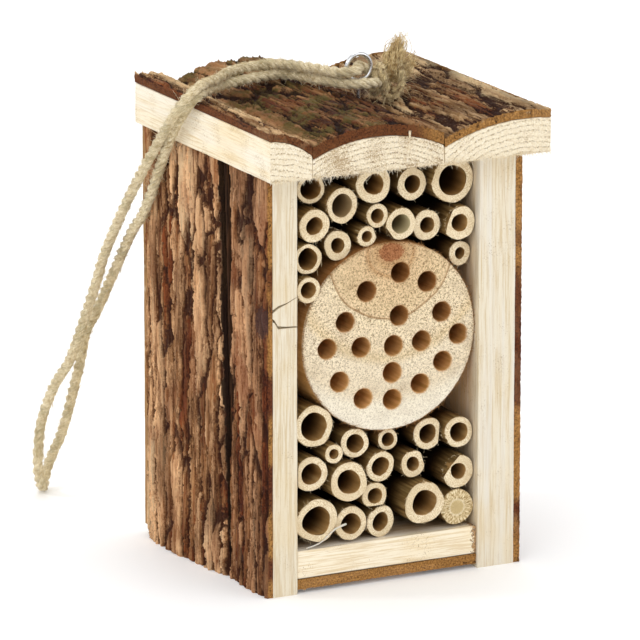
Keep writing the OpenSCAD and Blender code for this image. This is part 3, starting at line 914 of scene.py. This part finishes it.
def jute_material(name, base, light, dark):
    """Jute yarn: fibres at a slant on the strand's own UV map, with painted shade between the strands."""
    made, t, shader = material(name, 0.85, Specular_IOR_Level=0.2, Sheen_Weight=0.25, Sheen_Roughness=0.6)
    uv = t.add("ShaderNodeUVMap", {"uv_map": "UVMap"}).outputs[0]
    slant = t.add("ShaderNodeMapping", Vector=uv, Rotation=(0.0, 0.0, 0.5), Scale=(14.0, 2.2, 1.0))
    yarn = t.noise(slant.outputs[0], 1.6, 4, 0.65)
    place = object_millimetres(t)
    blotch = t.noise(place, 0.12, 3)
    crest = attribute(t, "crest")
    colour = t.ramp(yarn, (0.32, dark), (0.5, base), (0.68, light))
    colour = t.mix(t.remap(blotch, 0.45, 0.62, 0.0, 0.55), colour, "#a0936a")
    # Painted shade: darker where the surface dips between the strands
    colour = t.mix(t.remap(crest, 0.35, 0.8, 0.55, 0.0), colour, dark)
    paint(t, shader, colour)
    bump(t, shader, yarn, 0.7, 0.4 * MM)
    return made


def hair_material(name, low, high):
    made, t, shader = material(name, 0.7, Specular_IOR_Level=0.25, Sheen_Weight=0.2)
    place = object_millimetres(t)
    paint(t, shader, t.ramp(t.noise(place, 0.5, 2), (0.35, low), (0.65, high)))
    return made


def steel_material(name, colour, roughness):
    made, t, shader = material(name, roughness, Metallic=1.0)
    place = object_millimetres(t)
    scuff = t.noise(place, 2.2, 4, 0.7)
    paint(t, shader, t.mix(t.remap(scuff, 0.5, 0.75, 0.0, 0.35), colour, "#77777a"))
    t.put(shader.inputs["Roughness"], t.remap(scuff, 0.35, 0.7, roughness * 0.7, roughness * 1.5))
    bump(t, shader, scuff, 0.08, 0.1 * MM)
    return made


# ---------------------------------------------------------------- operators


class HOTEL_OT_stage(bpy.types.Operator):
    """Adds the camera, the pale floor and the soft studio lights"""

    bl_idname = "hotel.stage"
    bl_label = "Stage"

    azimuth, elevation = math.radians(-27.0), math.radians(14.5)
    distance = 2.576
    lens = 360.2
    aim = Vector((-0.006, 0.0065, 0.0957))

    def execute(self, context):
        turn, lift = self.azimuth, self.elevation
        back = Vector((math.sin(turn) * math.cos(lift), -math.cos(turn) * math.cos(lift), math.sin(lift)))
        bpy.ops.object.camera_add(location=self.aim + back * self.distance)
        camera = context.object
        camera.rotation_euler = (-back).to_track_quat("-Z", "Y").to_euler()
        camera.data.lens = self.lens
        camera.data.sensor_width = 36
        camera.data.clip_end = 50
        context.scene.camera = camera
        bpy.ops.mesh.primitive_plane_add(size=8, location=(0, 0, 0))
        floor = rename(context.object, "studio_floor")
        made, t, shader = material("studio_floor", 0.6, Specular_IOR_Level=0.1)
        tint = t.noise(object_millimetres(t), 0.004, 2)
        paint(t, shader, t.mix(tint, (0.93, 0.93, 0.93, 1), (0.95, 0.95, 0.95, 1)))
        shader.inputs["Emission Strength"].default_value = 0.1
        shader.inputs["Emission Color"].default_value = (1, 1, 1, 1)
        floor.data.materials.append(made)
        self.lamp("key", (-0.9, -1.2, 1.1), 1.2, 6.5)
        self.lamp("front", (1.0, -1.3, 0.8), 1.2, 5)
        self.lamp("rear", (-1.3, 0.55, 0.95), 0.22, 5)
        self.lamp("top", (0.1, 0.2, 1.5), 0.9, 4)
        self.lamp("backdrop", (0.5, 1.5, 1.1), 1.6, 4.5, aim=(0.5, 1.5, 0))
        world = bpy.data.worlds.new("studio")
        world.use_nodes = True
        sky = world.node_tree.nodes["Background"]
        sky.inputs["Color"].default_value = (1, 1, 1, 1)
        sky.inputs["Strength"].default_value = 0.78
        context.scene.world = world
        context.scene.view_settings.view_transform = "Standard"
        return {"FINISHED"}

    def lamp(self, name, place, size, power, aim=(0, 0, 0.1)):
        bpy.ops.object.light_add(type="AREA", location=place)
        light = rename(bpy.context.object, name)
        light.data.size = size
        light.data.energy = power
        light.rotation_euler = (Vector(aim) - Vector(place)).to_track_quat("-Z", "Y").to_euler()


def travelled(line):
    """The distance along a line to each of its points."""
    return np.concatenate([[0], np.cumsum(np.linalg.norm(np.diff(line, axis=0), axis=1))])


def smooth_route(route, spacing):
    """Evenly spaced points on the smooth curve through the route."""
    p = np.asarray(route, float)
    p = np.vstack([p[0], p, p[-1]])
    pieces = []
    for i in range(1, len(p) - 2):
        a, b, c, d = p[i - 1 : i + 3]
        k = np.linspace(0, 1, 40, endpoint=False)[:, None]
        pieces.append(0.5 * (
            2 * b + (c - a) * k + (2 * a - 5 * b + 4 * c - d) * k**2 + (3 * b - a - 3 * c + d) * k**3
        ))
    line = np.vstack(pieces + [p[-1][None]])
    gone = travelled(line)
    places = np.linspace(0, gone[-1], max(4, int(round(gone[-1] / spacing)) + 1))
    return np.stack([np.interp(places, gone, line[:, k]) for k in range(3)], axis=1), places


def carried_frames(line):
    """Side directions along a line that don't twist about it."""
    run = unit_rows(np.gradient(line, axis=0))
    side = np.zeros_like(line)
    last = np.array([0.0, 0.0, 1.0]) if abs(run[0][2]) < 0.9 else np.array([1.0, 0.0, 0.0])
    for i, t in enumerate(run):
        last = last - t * np.dot(last, t)
        last = last / np.linalg.norm(last)
        side[i] = last
    return run, side, np.cross(run, side)


def twine(name, line, places, diameter, pitch, sides=9):
    """Three twisted strands along a line, with a UV map along each and the height of each point."""
    _, side, over = carried_frames(line)
    strand_radius = diameter * STRAND_SHARE
    orbit = diameter / 2 - strand_radius
    points, faces, crest, uvs = [], [], [], []
    for strand in range(3):
        angle = math.tau * places / pitch + strand * math.tau / 3
        centre = line + orbit * (np.cos(angle)[:, None] * side + np.sin(angle)[:, None] * over)
        _, up, beside = carried_frames(centre)
        first = len(points)
        for i in range(len(line)):
            for k in range(sides):
                a = k * math.tau / sides
                swell = 1 + 0.07 * math.sin(places[i] / (1.1 * MM) + 2 * a + strand)
                reach = strand_radius * swell
                point = centre[i] + reach * (math.cos(a) * up[i] + math.sin(a) * beside[i])
                points.append(point)
                crest.append(np.linalg.norm(point - line[i]) / (diameter / 2))
                uvs.append((k / sides, places[i] / (4 * MM)))
        for i in range(len(line) - 1):
            for k in range(sides):
                a, b = first + i * sides + k, first + i * sides + (k + 1) % sides
                faces.append((a, b, b + sides, a + sides))
        last = first + (len(line) - 1) * sides
        faces.append(tuple(range(first + sides - 1, first - 1, -1)))
        faces.append(tuple(range(last, last + sides)))
    piece = mesh_piece(name, points, faces)
    heights = piece.data.attributes.new("crest", "FLOAT", "POINT")
    heights.data.foreach_set("value", np.array(crest, np.float32))
    layer = piece.data.uv_layers.new(name="UVMap")
    for polygon in piece.data.polygons:
        seam = max(uvs[v][0] for v in polygon.vertices) - min(uvs[v][0] for v in polygon.vertices) > 0.5
        for loop in polygon.loop_indices:
            u, v = uvs[piece.data.loops[loop].vertex_index]
            layer.data[loop].uv = (u + 1 if seam and u < 0.5 else u, v)
    return piece


class HOTEL_OT_rope(bpy.types.Operator):
    """Lays the three-strand jute rope with its knot, frayed ends and loose hairs"""

    bl_idname = "hotel.rope"
    bl_label = "Rope"

    def execute(self, context):
        d, pitch = sizes().rope_diameter, sizes().rope_pitch
        jute = jute_material("jute", colours().jute[:], "#fbf3dc", "#a48f66")
        gold = hair_material("jute_hair", "#b8a377", "#f3e6c4")
        tow = hair_material("jute_tow", "#a8844c", "#f0dca8")
        knotted = jute_material("jute_knot", "#c4ab7c", "#f0e2bd", "#7c6138")
        knot_hair = hair_material("jute_knot_hair", "#6d4f26", "#f2dfae")
        line, places = smooth_route(np.array(ROPE_ROUTE) * MM, 0.9 * MM * COARSE)
        rope = twine("jute_rope", line, places, d, pitch)
        finish_piece(rope, "jute", ["hanging_rope"], jute)
        random = np.random.default_rng(7)
        pick = random.integers(0, len(line), sizes().rope_hairs)
        run, side, over = carried_frames(line)
        angle = random.uniform(0, math.tau, len(pick))
        out = np.cos(angle)[:, None] * side[pick] + np.sin(angle)[:, None] * over[pick]
        roots = line[pick] + out * d * 0.44
        lean = unit_rows(out + run[pick] * random.normal(0, 1.3, (len(pick), 1)))
        lengths = random.gamma(2.0, 0.9, len(pick)) * MM
        fuzz = hairs("rope_hairs", roots, lean, lengths, 0.08 * MM, (0, 0, 0), random)
        join(fuzz, self.yarn(line, places, d, pitch, sizes().rope_yarns, random))
        finish_piece(fuzz, "jute", [], gold)
        knot = self.knot(knotted, knot_hair, d, pitch, random)
        ends = self.frayed_ends(tow, random)
        return {"FINISHED"}

    def yarn(self, line, places, d, pitch, count, random):
        """Long fibres that lie on the strands, nearly along the rope, with loose ends."""
        k = np.linspace(0, 1, 8)[None, :]
        length = random.uniform(5, 13, (count, 1)) * MM
        start = random.uniform(0, 1, (count, 1)) * (places[-1] - length)
        at = start + length * k
        strand = random.integers(0, 3, (count, 1)) * math.tau / 3
        off = random.uniform(-0.7, 0.7, (count, 1)) + random.normal(0, 0.9, (count, 1)) * (k - 0.5)
        angle = math.tau * at / pitch + strand + off
        strand_radius = d * STRAND_SHARE
        orbit = d / 2 - strand_radius
        away = np.clip(off, -0.9, 0.9)
        inside = np.maximum(strand_radius**2 - (orbit * np.sin(away)) ** 2, 0)
        loose = random.gamma(1.5, 0.22, (count, 1)) * MM
        reach = orbit * np.cos(away) + np.sqrt(inside) + loose * (2 * k - 1) ** 4 + 0.03 * MM
        _, side, over = carried_frames(line)
        pick = lambda rows: np.stack([np.interp(at, places, rows[:, c]) for c in range(3)], axis=2)
        out = np.cos(angle)[..., None] * pick(side) + np.sin(angle)[..., None] * pick(over)
        return fibres("yarn", pick(line) + out * reach[..., None], 0.1 * MM, 0.06 * MM)

    def knot(self, jute, gold, d, pitch, random):
        """The knot beside the ring: two turns round the rope and a slack loop that hangs open."""
        centre = np.array(box_centre("rope_knot"))
        right, deep = np.array([0.891, -0.454, 0]), np.array([0.454, 0.891, 0])
        up = np.array([0.0, 0, 1])
        turn = np.linspace(0, math.tau, 120)[:, None]
        sine, cosine = np.sin(turn), np.cos(turn)
        slack = [
            (-4.2, 1.5, 4.6), (-3.6, -1.2, 0.8), (-1.8, -2.6, -2.8), (1.2, -2.8, -5.6), (3.4, -2.4, -4.8),
            (5.2, -1.4, -1.6), (5.9, -0.4, 2.0), (5.2, 0.8, 5.4), (4.4, 1.6, 8.0),
        ]
        slack = np.array([r * right + e * deep + u * up for r, e, u in slack])
        slack = smooth_route(slack * MM, 0.3 * MM)[0] / MM
        loops = (
            (d, -4.6 * right + 0.4 * up + 3.3 * cosine * deep + 4.6 * sine * (up + 0.16 * right)),
            (d, -1.8 * right + 0.8 * up + 3.6 * cosine * deep + 5.2 * sine * (up - 0.22 * right)),
            (0.64 * d, slack),
            (0.5 * d, slack * 0.72 + 1.6 * right + 0.9 * deep + 0.6 * up),
        )
        pieces = []
        for diameter, loop in loops:
            path = centre + loop * MM
            places = travelled(path)
            pieces.append(twine("rope_knot_twine", path, places, diameter, pitch))
            yarns = self.yarn(path, places, diameter, pitch, 150, random)
            picks = path[random.integers(0, len(path), 130)]
            out = unit_rows(picks - centre + random.normal(0, 2.5 * MM, picks.shape))
            roots, lengths = picks + out * diameter * 0.4, random.gamma(2.2, 0.9, len(picks)) * MM
            join(yarns, hairs("knot_hairs", roots, out, lengths, 0.09 * MM, (0, 0, -0.3), random))
            yarns.data.materials.append(jute)
            yarns.data.materials.append(gold)
            for polygon in yarns.data.polygons:
                polygon.material_index = 1
            pieces.append(yarns)
        for piece in pieces[::2]:
            piece.data.materials.append(jute)
        return finish_piece(join(*pieces), "jute", ["rope_knot"])

    def frayed_ends(self, tow, random):
        """Two brushes of loose jute that spread from the knot."""
        centre = np.array(box_centre("rope_knot"))
        bundles = []
        brushes = (((8.4, 5.4, 15.4), 430, 1.5, 1.9), ((14.2, 4.4, 6.4), 320, 1.4, 1.7))
        for tip, count, spread, belly in brushes:
            tip = np.array(tip) * MM
            axis = tip / np.linalg.norm(tip)
            root = centre + axis * 4.5 * MM + random.normal(0, 1.3 * MM, (count, 3))
            reach = random.uniform(0.5, 1.06, (count, 1))
            end = centre + tip * reach + random.normal(0, spread * MM, (count, 3))
            swing = random.normal(0, belly * MM, (count, 3))
            k = np.linspace(0, 1, 7)[None, :, None]
            paths = root[:, None] * (1 - k) + end[:, None] * k + swing[:, None] * np.sin(k * math.pi)
            curl = random.normal(0, 0.5 * MM, (count, 7, 3)) * k
            bundles.append(fibres("tow", paths + curl, 0.15 * MM, 0.08 * MM))
        ends = rename(join(*bundles), "rope_frayed_ends")
        return finish_piece(ends, "jute", ["rope_ends"], tow)


class HOTEL_OT_bark(bpy.types.Operator):
    """Models the bark on the walls, the roof slabs and the floor board"""

    bl_idname = "hotel.bark"
    bl_label = "Bark"

    def execute(self, context):
        relief = bark_relief_group()
        roof_shade = (
            (0.14, (1.1, 1.25, 1.3, 1)), (0.17, (0.5, 0.41, 0.32, 1)), (0.56, (0.42, 0.34, 0.26, 1)),
            (0.63, (0.84, 0.96, 1.0, 1)),
        )
        finish = {
            "left": bark_material("wall_bark", Z, tint=(1.14, 1.12, 1.12, 1)),
            "front": bark_material(
                "wall_bark_front", Z, rust=0.5, tint=(0.84, 0.75, 0.73, 1), knot=(-57.0, -43.5, 112.0)
            ),
            "right": bark_material("wall_bark_right", Z),
            "roof": bark_material(
                "roof_bark", Y, moss=0.9, rust=0.1, contrast=3.0, orange=(4, 18), stringy=1.35,
                shade=roof_shade,
            ),
            "floor": bark_material("floor_bark_finish", X, orange=(-90, -70)),
        }
        for number, (node, looks) in enumerate(BARKS.items()):
            grain, outward, depth, plate, stretch, level, swell = looks
            piece = copy_node(node, node + "_rough", sizes().bark_voxel)
            apply_nodes(
                piece, relief, grain=tuple(grain), outward=tuple(outward),
                wane=GAP_FACES.get(node, (0.0, 0.0, 0.0)),
                relief=getattr(sizes(), depth) if isinstance(depth, str) else depth * MM,
                plate=plate, stretch=stretch, level=level, swell=swell * MM, seed=float(number + 1),
            )
            thin_to(piece, BARK_TRIANGLES)
            side = "front" if node == "left_front_bark" else node.split("_")[0]
            finish_piece(piece, "bark", [node], finish[side], smooth_below=70)
        return {"FINISHED"}


class HOTEL_OT_boards(bpy.types.Operator):
    """Models the sawn wall boards, the floor board and the back board"""

    bl_idname = "hotel.boards"
    bl_label = "Boards"

    def execute(self, context):
        upright = wood_material("sawn_upright", Z, flecks=0.03, grey=0.15, lift=0.88)
        pale = wood_material(
            "sawn_pale", Z, flecks=0.05, grey=0.7, lift=0.88, inward_darkening=(0.8, 0.56, 0.32, 1)
        )
        aged = wood_material("sawn_aged", Z, flecks=0.08, grey=0.2, wane_tones=("#6f4924", "#b98f5a"))
        level = wood_material(
            "sawn_level", X, flecks=0.05, grey=0.6, lift=1.06, inward_darkening=(0.5, 0.34, 0.2, 1),
            crumble=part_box("floor_board")[1].x / MM - 2.2,
        )
        boards = {
            # The last column is the side whose faces are marked: painted shade in the gaps between the wall
            # boards and under the floor board, and the real waney side of the back board
            "left_front_board": (Z, upright, (Y - X) * 0.75),
            "left_rear_board": (Z, upright, -(X + Y) * 0.75),
            "right_front_board": (Z, pale, (X + Y) * 0.75),
            "right_rear_board": (Z, pale, (X - Y) * 0.75),
            "back_board": (Z, aged, -X),
            "floor_board": (X, level, -Z),
        }
        for number, (node, (grain, finish, wane)) in enumerate(boards.items()):
            piece = copy_node(node, node + "_sawn", sizes().wood_voxel)
            low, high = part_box(node)
            apply_nodes(
                piece, sawn_relief(), grain=tuple(grain), pith=tuple((low + high) / 2 + Y * 30 * MM),
                wane=tuple(wane), rough=0.35 * MM, wave=0.7 * MM, seed=float(number + 20),
            )
            if node == "left_front_board":
                self.split(piece, low)
            if node == "back_board":
                self.round_side(piece, low)
            seen = "front" in node or "floor" in node
            thin_to(piece, FRONT_BOARD_TRIANGLES if seen else BOARD_TRIANGLES)
            finish_piece(piece, "sawn_wood", [node], finish)
        return {"FINISHED"}

    def round_side(self, piece, corner):
        """Draws in the waney left side of the back board, most at its front edge."""
        for vertex in piece.data.vertices:
            if vertex.co.x < corner.x + 3 * MM:
                front = 1 - min(1.0, (vertex.co.y - corner.y) / (6 * MM))
                vertex.co.x += (1.0 + 0.8 * front) * MM

    def split(self, piece, corner):
        """Cuts the two cracks that open round a knot in the front of the left board."""
        cracks = (
            ((-1.5, 115.3, 1.6), (3.6, 118.4, 1.1), (7.2, 119.6, 0.5), (11.6, 121.6, 0.25)),
            ((-1.5, 114.9, 1.2), (1.9, 112.8, 1.2), (3.4, 110.2, 1.3), (7.0, 109.9, 0.8), (12.0, 109.6, 0.5)),
        )
        for crack in cracks:
            above = [(corner.x + x * MM, (z + w / 2) * MM) for x, z, w in crack]
            below = [(corner.x + x * MM, (z - w / 2) * MM) for x, z, w in reversed(crack)]
            outline = above + below
            front, back = corner.y - 1 * MM, corner.y + 2.4 * MM
            count = len(outline)
            points = [(x, front, z) for x, z in outline] + [(x, back, z) for x, z in outline]
            faces = [tuple(range(count)), tuple(range(2 * count - 1, count - 1, -1))]
            faces += [(k, k + count, (k + 1) % count + count, (k + 1) % count) for k in range(count)]
            blade = mesh_piece("crack_blade", points, faces)
            weld(blade)
            apply_modifier(piece, "BOOLEAN", operation="DIFFERENCE", solver="EXACT", object=blade)
            bpy.data.objects.remove(blade)


class HOTEL_OT_slabs(bpy.types.Operator):
    """Models the half-round roof slabs with torn fibres along their sawn edges"""

    bl_idname = "hotel.slabs"
    bl_label = "Roof slabs"

    def execute(self, context):
        plain = wood_material("slab_wood", Y, flecks=0.1, spacing=2.1, dashes=0.8, grey=0.5)
        rough = wood_material("slab_wood_rough", Y, flecks=0.2, spacing=2.1, dashes=1.0, grey=0.5)
        random = np.random.default_rng(11)
        for number, side in enumerate(("left", "middle", "right")):
            node = f"roof_{side}_slab"
            low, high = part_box(node)
            piece = copy_node(node, node + "_sawn", sizes().wood_voxel)
            pith_x = {"left": low.x, "middle": (low.x + high.x) / 2, "right": low.x + 36 * MM}[side]
            apply_nodes(
                piece, sawn_relief(), grain=tuple(Y), pith=(pith_x, 0.0, high.z - 62 * MM),
                rough=0.5 * MM, wave=0.8 * MM, seed=float(number + 40),
            )
            thin_to(piece, SLAB_TRIANGLES)
            count = int((high.x - low.x) / MM * 12)
            roots = np.stack([
                random.uniform(low.x, high.x, count), np.full(count, low.y),
                low.z + random.gamma(1.1, 0.7, count) * MM,
            ], axis=1)
            lean = unit_rows(np.stack([
                random.normal(0, 0.5, count), -random.uniform(0.1, 0.9, count),
                -random.uniform(0.3, 1.1, count),
            ], axis=1))
            lengths = random.gamma(1.8, 0.34, count) * MM
            join(piece, hairs("torn_edge", roots, lean, lengths, 0.11 * MM, (0, 0, -0.2), random))
            if side == "middle":
                top = Vector((-1.7 * MM, low.y - 1.0 * MM, high.z + 1.2 * MM))
                splinter = [top, top + Vector((-0.3, -0.2, -6)) * MM, top + Vector((-1, 0.4, -13)) * MM]
                join(piece, fibres("splinter", [splinter], 0.6 * MM, 0.25 * MM))
            finish_piece(piece, "end_grain_wood", [node], rough if side == "middle" else plain)
        return {"FINISHED"}


class HOTEL_OT_log(bpy.types.Operator):
    """Models the drilled log block with its rough rim"""

    bl_idname = "hotel.log"
    bl_label = "Log block"

    def execute(self, context):
        low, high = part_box("log_block")
        centre, radius = (low + high) / 2, (high.x - low.x) / 2
        piece = copy_node("log_block", "log_block_sawn", 0.62 * MM)
        pith = (centre.x + LOG_KNOT_X * MM, centre.y, centre.z + LOG_KNOT_Z * MM)
        apply_nodes(
            piece, sawn_relief(), grain=tuple(Y), pith=pith, rough=0.45 * MM, wave=0.6 * MM, seed=71.0
        )
        thin_to(piece, LOG_TRIANGLES)
        random = np.random.default_rng(5)
        count = 900
        ring = spokes(random.uniform(0, math.tau, count))
        roots = np.array(centre) + ring * radius * 0.995
        roots[:, 1] = low.y + random.uniform(0, 0.6, count) * MM
        lean = unit_rows(
            ring * random.uniform(0.2, 1, (count, 1)) + random.normal(0, 0.5, (count, 3))
            + np.array([0, -0.35, 0])
        )
        lengths = random.gamma(2.0, 0.36, count) * MM
        join(piece, hairs("rim", roots, lean, lengths, 0.12 * MM, (0, 0, 0), random))
        finish_piece(piece, "end_grain_wood", ["log_block"], log_material(centre, radius))
        return {"FINISHED"}


class HOTEL_OT_canes(bpy.types.Operator):
    """Models each bamboo cane with its sawn end, bore and skin"""

    bl_idname = "hotel.canes"
    bl_label = "Canes"

    def execute(self, context):
        relief = cane_relief_group()
        skin, sawn, plain = cane_materials()
        random = np.random.default_rng(3)
        for number, node in enumerate(UPPER_CANES + LOWER_CANES):
            low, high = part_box(node)
            centre = (low + high) / 2
            radius, face, rear = (high.x - low.x) / 2, low.y, high.y
            bore = self.bore_radius(node, centre, radius)
            cane = self.lathe(node + "_tube", centre, radius, bore, face, rear)
            apply_nodes(
                cane, relief, centre=tuple(centre), face=face, radius=radius, seed=float(number + 3)
            )
            self.flatten(cane, node, centre, radius, face)
            count = int(radius / MM * 9)
            ring = spokes(random.uniform(0, math.tau, count))
            roots = np.array([centre.x, face + 0.25 * MM, centre.z]) + ring * (radius * 0.96)
            lean = unit_rows(ring * 0.5 + random.normal(0, 0.5, (count, 3)) + np.array([0, -0.3, 0]))
            lengths = random.gamma(1.6, 0.3, count) * MM
            join(cane, hairs("torn", roots, lean, lengths, 0.09 * MM, (0, 0, -0.2), random))
            self.mark_faces(cane, centre, bore, face, count * HAIR_FACES)
            hollow = plain
            if node in PALE_BORES:
                tone = PALE_BORES[node]
                hollow = bore_material(f"cane_bore_{number}", tone, tone, tone, 0.5)
            end = sawn if bore else self.solid_end(centre)
            finish_piece(cane, "bamboo", [node], skin, end, hollow)
        return {"FINISHED"}

    def bore_radius(self, node, centre, radius):
        """The bore as the CAD node has it, or 0 for a solid cane."""
        points = [v.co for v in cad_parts[node].data.vertices]
        spans = [math.hypot(p.x - centre.x, p.z - centre.z) for p in points]
        inner = [s for s in spans if 0.05 * radius < s < 0.95 * radius]
        return max(inner) if inner else 0.0

    def lathe(self, name, centre, radius, bore, face, rear):
        """A closed tube turned about its axis, with a finer mesh near its sawn end."""
        lip = 0.35 * MM
        depths = [0.8, 2, 4, 8, 14, 24, 40, 65]
        outline = [(0, rear), (radius * 0.5, rear), (radius, rear)]
        outline += [(radius, face + d * MM) for d in reversed(depths)] + [(radius, face + lip)]
        outline.append((radius - lip * 0.6, face))
        if bore:
            wall = radius - lip - bore
            outline += [(bore + lip * 0.6 + wall * k, face) for k in (0.78, 0.52, 0.26)]
            outline += [(bore + lip * 0.4, face), (bore, face + lip)]
            outline += [(bore, face + d * MM) for d in depths] + [(bore, rear - 3.2 * MM), (0, rear - 3 * MM)]
        else:
            outline += [(radius * k, face) for k in (0.8, 0.6, 0.45, 0.3, 0.15, 0)]
        points = [(centre.x + r, y, centre.z) for r, y in outline]
        cane = mesh_piece(name, points, [], [(i, i + 1) for i in range(len(points) - 1)])
        select_only(cane)
        bpy.ops.object.mode_set(mode="EDIT")
        bpy.ops.mesh.select_all(action="SELECT")
        bpy.ops.mesh.spin(
            steps=int(56 / COARSE), angle=math.tau, center=(centre.x, 0, centre.z), axis=(0, 1, 0)
        )
        bpy.ops.object.mode_set(mode="OBJECT")
        weld(cane, 0.01 * MM)
        return cane

    def flatten(self, cane, node, centre, radius, face):
        """Presses in the side of a dented or split cane, most at its sawn end."""
        if node not in CANE_FLATS:
            return
        angle, kept, fade = CANE_FLATS[node]
        side = Vector((math.cos(math.radians(angle)), 0, math.sin(math.radians(angle))))
        for vertex in cane.data.vertices:
            arm = vertex.co - centre
            over = arm.x * side.x + arm.z * side.z - kept * radius
            if over > 0:
                strength = max(0.0, 1 - (vertex.co.y - face) / (fade * MM))
                vertex.co -= side * over * strength * 0.9

    def solid_end(self, centre):
        """The end of a cane cut through its knot wall: radial fibres round a pale pith."""
        made, t, shader = material("cane_knot_end", 0.75, Specular_IOR_Level=0.2)
        place = t.vector("SUBTRACT", object_millimetres(t), tuple(centre / MM))
        parts = t.parts(place)
        angle = t.math("ARCTAN2", parts["Z"], parts["X"])
        span = t.vector("LENGTH", t.vector("MULTIPLY", place, (1.0, 0.0, 1.0)))
        fan = t.add("ShaderNodeCombineXYZ", X=t.times(angle, 4.0), Y=t.times(span, 0.3))
        rays = t.noise(fan.outputs[0], 2.2, 3, 0.7)
        colour = t.ramp(rays, (0.36, "#8f7446"), (0.5, "#cdb588"), (0.64, "#f1e3bf"))
        pith = t.remap(t.times_plus(rays, 1.2, span), 3.2, 3.8, 0.85, 0.0)
        colour = t.mix(pith, colour, t.mix(rays, "#b59a68", "#d6c190"))
        ring = t.math("ABSOLUTE", t.minus(span, 3.3))
        colour = t.mix(t.remap(ring, 0.1, 0.6, 0.4, 0.0), colour, "#f0e4c4")
        paint(t, shader, colour)
        bump(t, shader, rays, 0.6, 0.5 * MM)
        return made

    def mark_faces(self, cane, centre, bore, face, torn):
        """Puts each face in the skin, the sawn end or the bore, and the last torn faces in the end."""
        for polygon in cane.data.polygons[-torn:]:
            polygon.material_index = 1
        for polygon in cane.data.polygons[:-torn]:
            place = polygon.center
            span = math.hypot(place.x - centre.x, place.z - centre.z)
            if place.y < face + 1.2 * MM and abs(polygon.normal.y) > 0.45:
                polygon.material_index = 1
            elif bore and span < bore * 1.25 and place.y > face:
                polygon.material_index = 2
            else:
                polygon.material_index = 0


class HOTEL_OT_metal(bpy.types.Operator):
    """Bends the screw eye and gives the nails their steel"""

    bl_idname = "hotel.metal"
    bl_label = "Screw eye and nails"

    def execute(self, context):
        low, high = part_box("screw_eye")
        wire = (high.y - low.y) / 2
        outer = (high.x - low.x) / 2
        centre = Vector(((low.x + high.x) / 2, (low.y + high.y) / 2, high.z - outer))
        ring = outer - wire
        neck = centre - Z * (ring + 0.4 * MM)
        path = [neck + Z * (low.z - centre.z + ring) * k for k in (1.0, 0.5, 0.12)]
        path.append(centre + Vector((ring * 0.12, 0, -ring)))
        for k in range(1, 49):
            angle = math.radians(-78 + k * 338 / 48)
            path.append(centre + Vector((ring * math.cos(angle), 0, ring * math.sin(angle))))
        curve = bpy.data.curves.new("screw_eye_wire", "CURVE")
        curve.dimensions = "3D"
        curve.bevel_depth = wire
        curve.bevel_resolution = 5
        curve.use_fill_caps = True
        spline = curve.splines.new("POLY")
        spline.points.add(len(path) - 1)
        for point, place in zip(spline.points, path):
            point.co = (*place, 1)
        eye = bpy.data.objects.new("screw_eye_wire", curve)
        context.scene.collection.objects.link(eye)
        select_only(eye)
        bpy.ops.object.convert(target="MESH")
        eye = context.object
        weld(eye)
        bright = steel_material("bright_steel", "#d9dadc", 0.22)
        finish_piece(eye, "plated_steel", ["screw_eye"], bright, smooth_below=60)
        plain = steel_material("nail_steel", "#9a9a9c", 0.42)
        for node in ("roof_nails", "floor_nails", "back_nails"):
            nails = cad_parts[node]
            nails.data.materials.clear()
            nails.data.materials.append(plain)
        return {"FINISHED"}


class HOTEL_OT_glue(bpy.types.Operator):
    """Draws the stray thread of hot glue across the lower canes"""

    bl_idname = "hotel.glue"
    bl_label = "Glue thread"

    def execute(self, context):
        low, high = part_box("lower_cane_16")
        upper = Vector((high.x, low.y, high.z)) - Vector((9.5, 1.2, 6.5)) * MM
        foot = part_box("lower_cane_15")[0] + Vector((4, -1.0, -1.5)) * MM
        route = [upper, upper.lerp(foot, 0.3) + Z * 0.6 * MM, upper.lerp(foot, 0.65) - Z * 1.2 * MM, foot]
        line = smooth_route([tuple(p) for p in route], 0.8 * MM)[0]
        thread = fibres("glue_thread", line[None], 1.0 * MM, 0.45 * MM)
        apply_modifier(thread, "SUBSURF", levels=2, render_levels=2)
        made, t, shader = material("hot_glue", 0.25, Specular_IOR_Level=0.5, Subsurface_Weight=0.3)
        cloud = t.noise(object_millimetres(t), 0.4, 2)
        paint(t, shader, t.mix(cloud, "#efe6d6", "#d9c9ac"))
        finish_piece(thread, None, [], made)
        return {"FINISHED"}


class HOTEL_PT_panel(bpy.types.Panel):
    """Lists the steps that model the insect hotel"""

    bl_idname = "HOTEL_PT_panel"
    bl_label = "Insect Hotel"
    bl_space_type = "VIEW_3D"
    bl_region_type = "UI"
    bl_category = "Insect Hotel"

    def draw(self, context):
        for group in (context.scene.hotel_sizes, context.scene.hotel_colours):
            box = self.layout.box()
            for key in group.__annotations__:
                box.prop(group, key)
        for step in STEPS:
            self.layout.operator(step.bl_idname)


STEPS = (
    HOTEL_OT_stage, HOTEL_OT_rope, HOTEL_OT_bark, HOTEL_OT_boards, HOTEL_OT_slabs, HOTEL_OT_log,
    HOTEL_OT_canes, HOTEL_OT_metal, HOTEL_OT_glue,
)
CLASSES = (HotelSizes, HotelColours, *STEPS, HOTEL_PT_panel)


def register():
    for item in CLASSES:
        bpy.utils.register_class(item)
    bpy.types.Scene.hotel_sizes = PointerProperty(type=HotelSizes)
    bpy.types.Scene.hotel_colours = PointerProperty(type=HotelColours)


def unregister():
    del bpy.types.Scene.hotel_colours
    del bpy.types.Scene.hotel_sizes
    for item in reversed(CLASSES):
        bpy.utils.unregister_class(item)


def main():
    register()
    for step in STEPS:
        section, name = step.bl_idname.split(".")
        getattr(getattr(bpy.ops, section), name)()


if __name__ == "__main__":
    main()
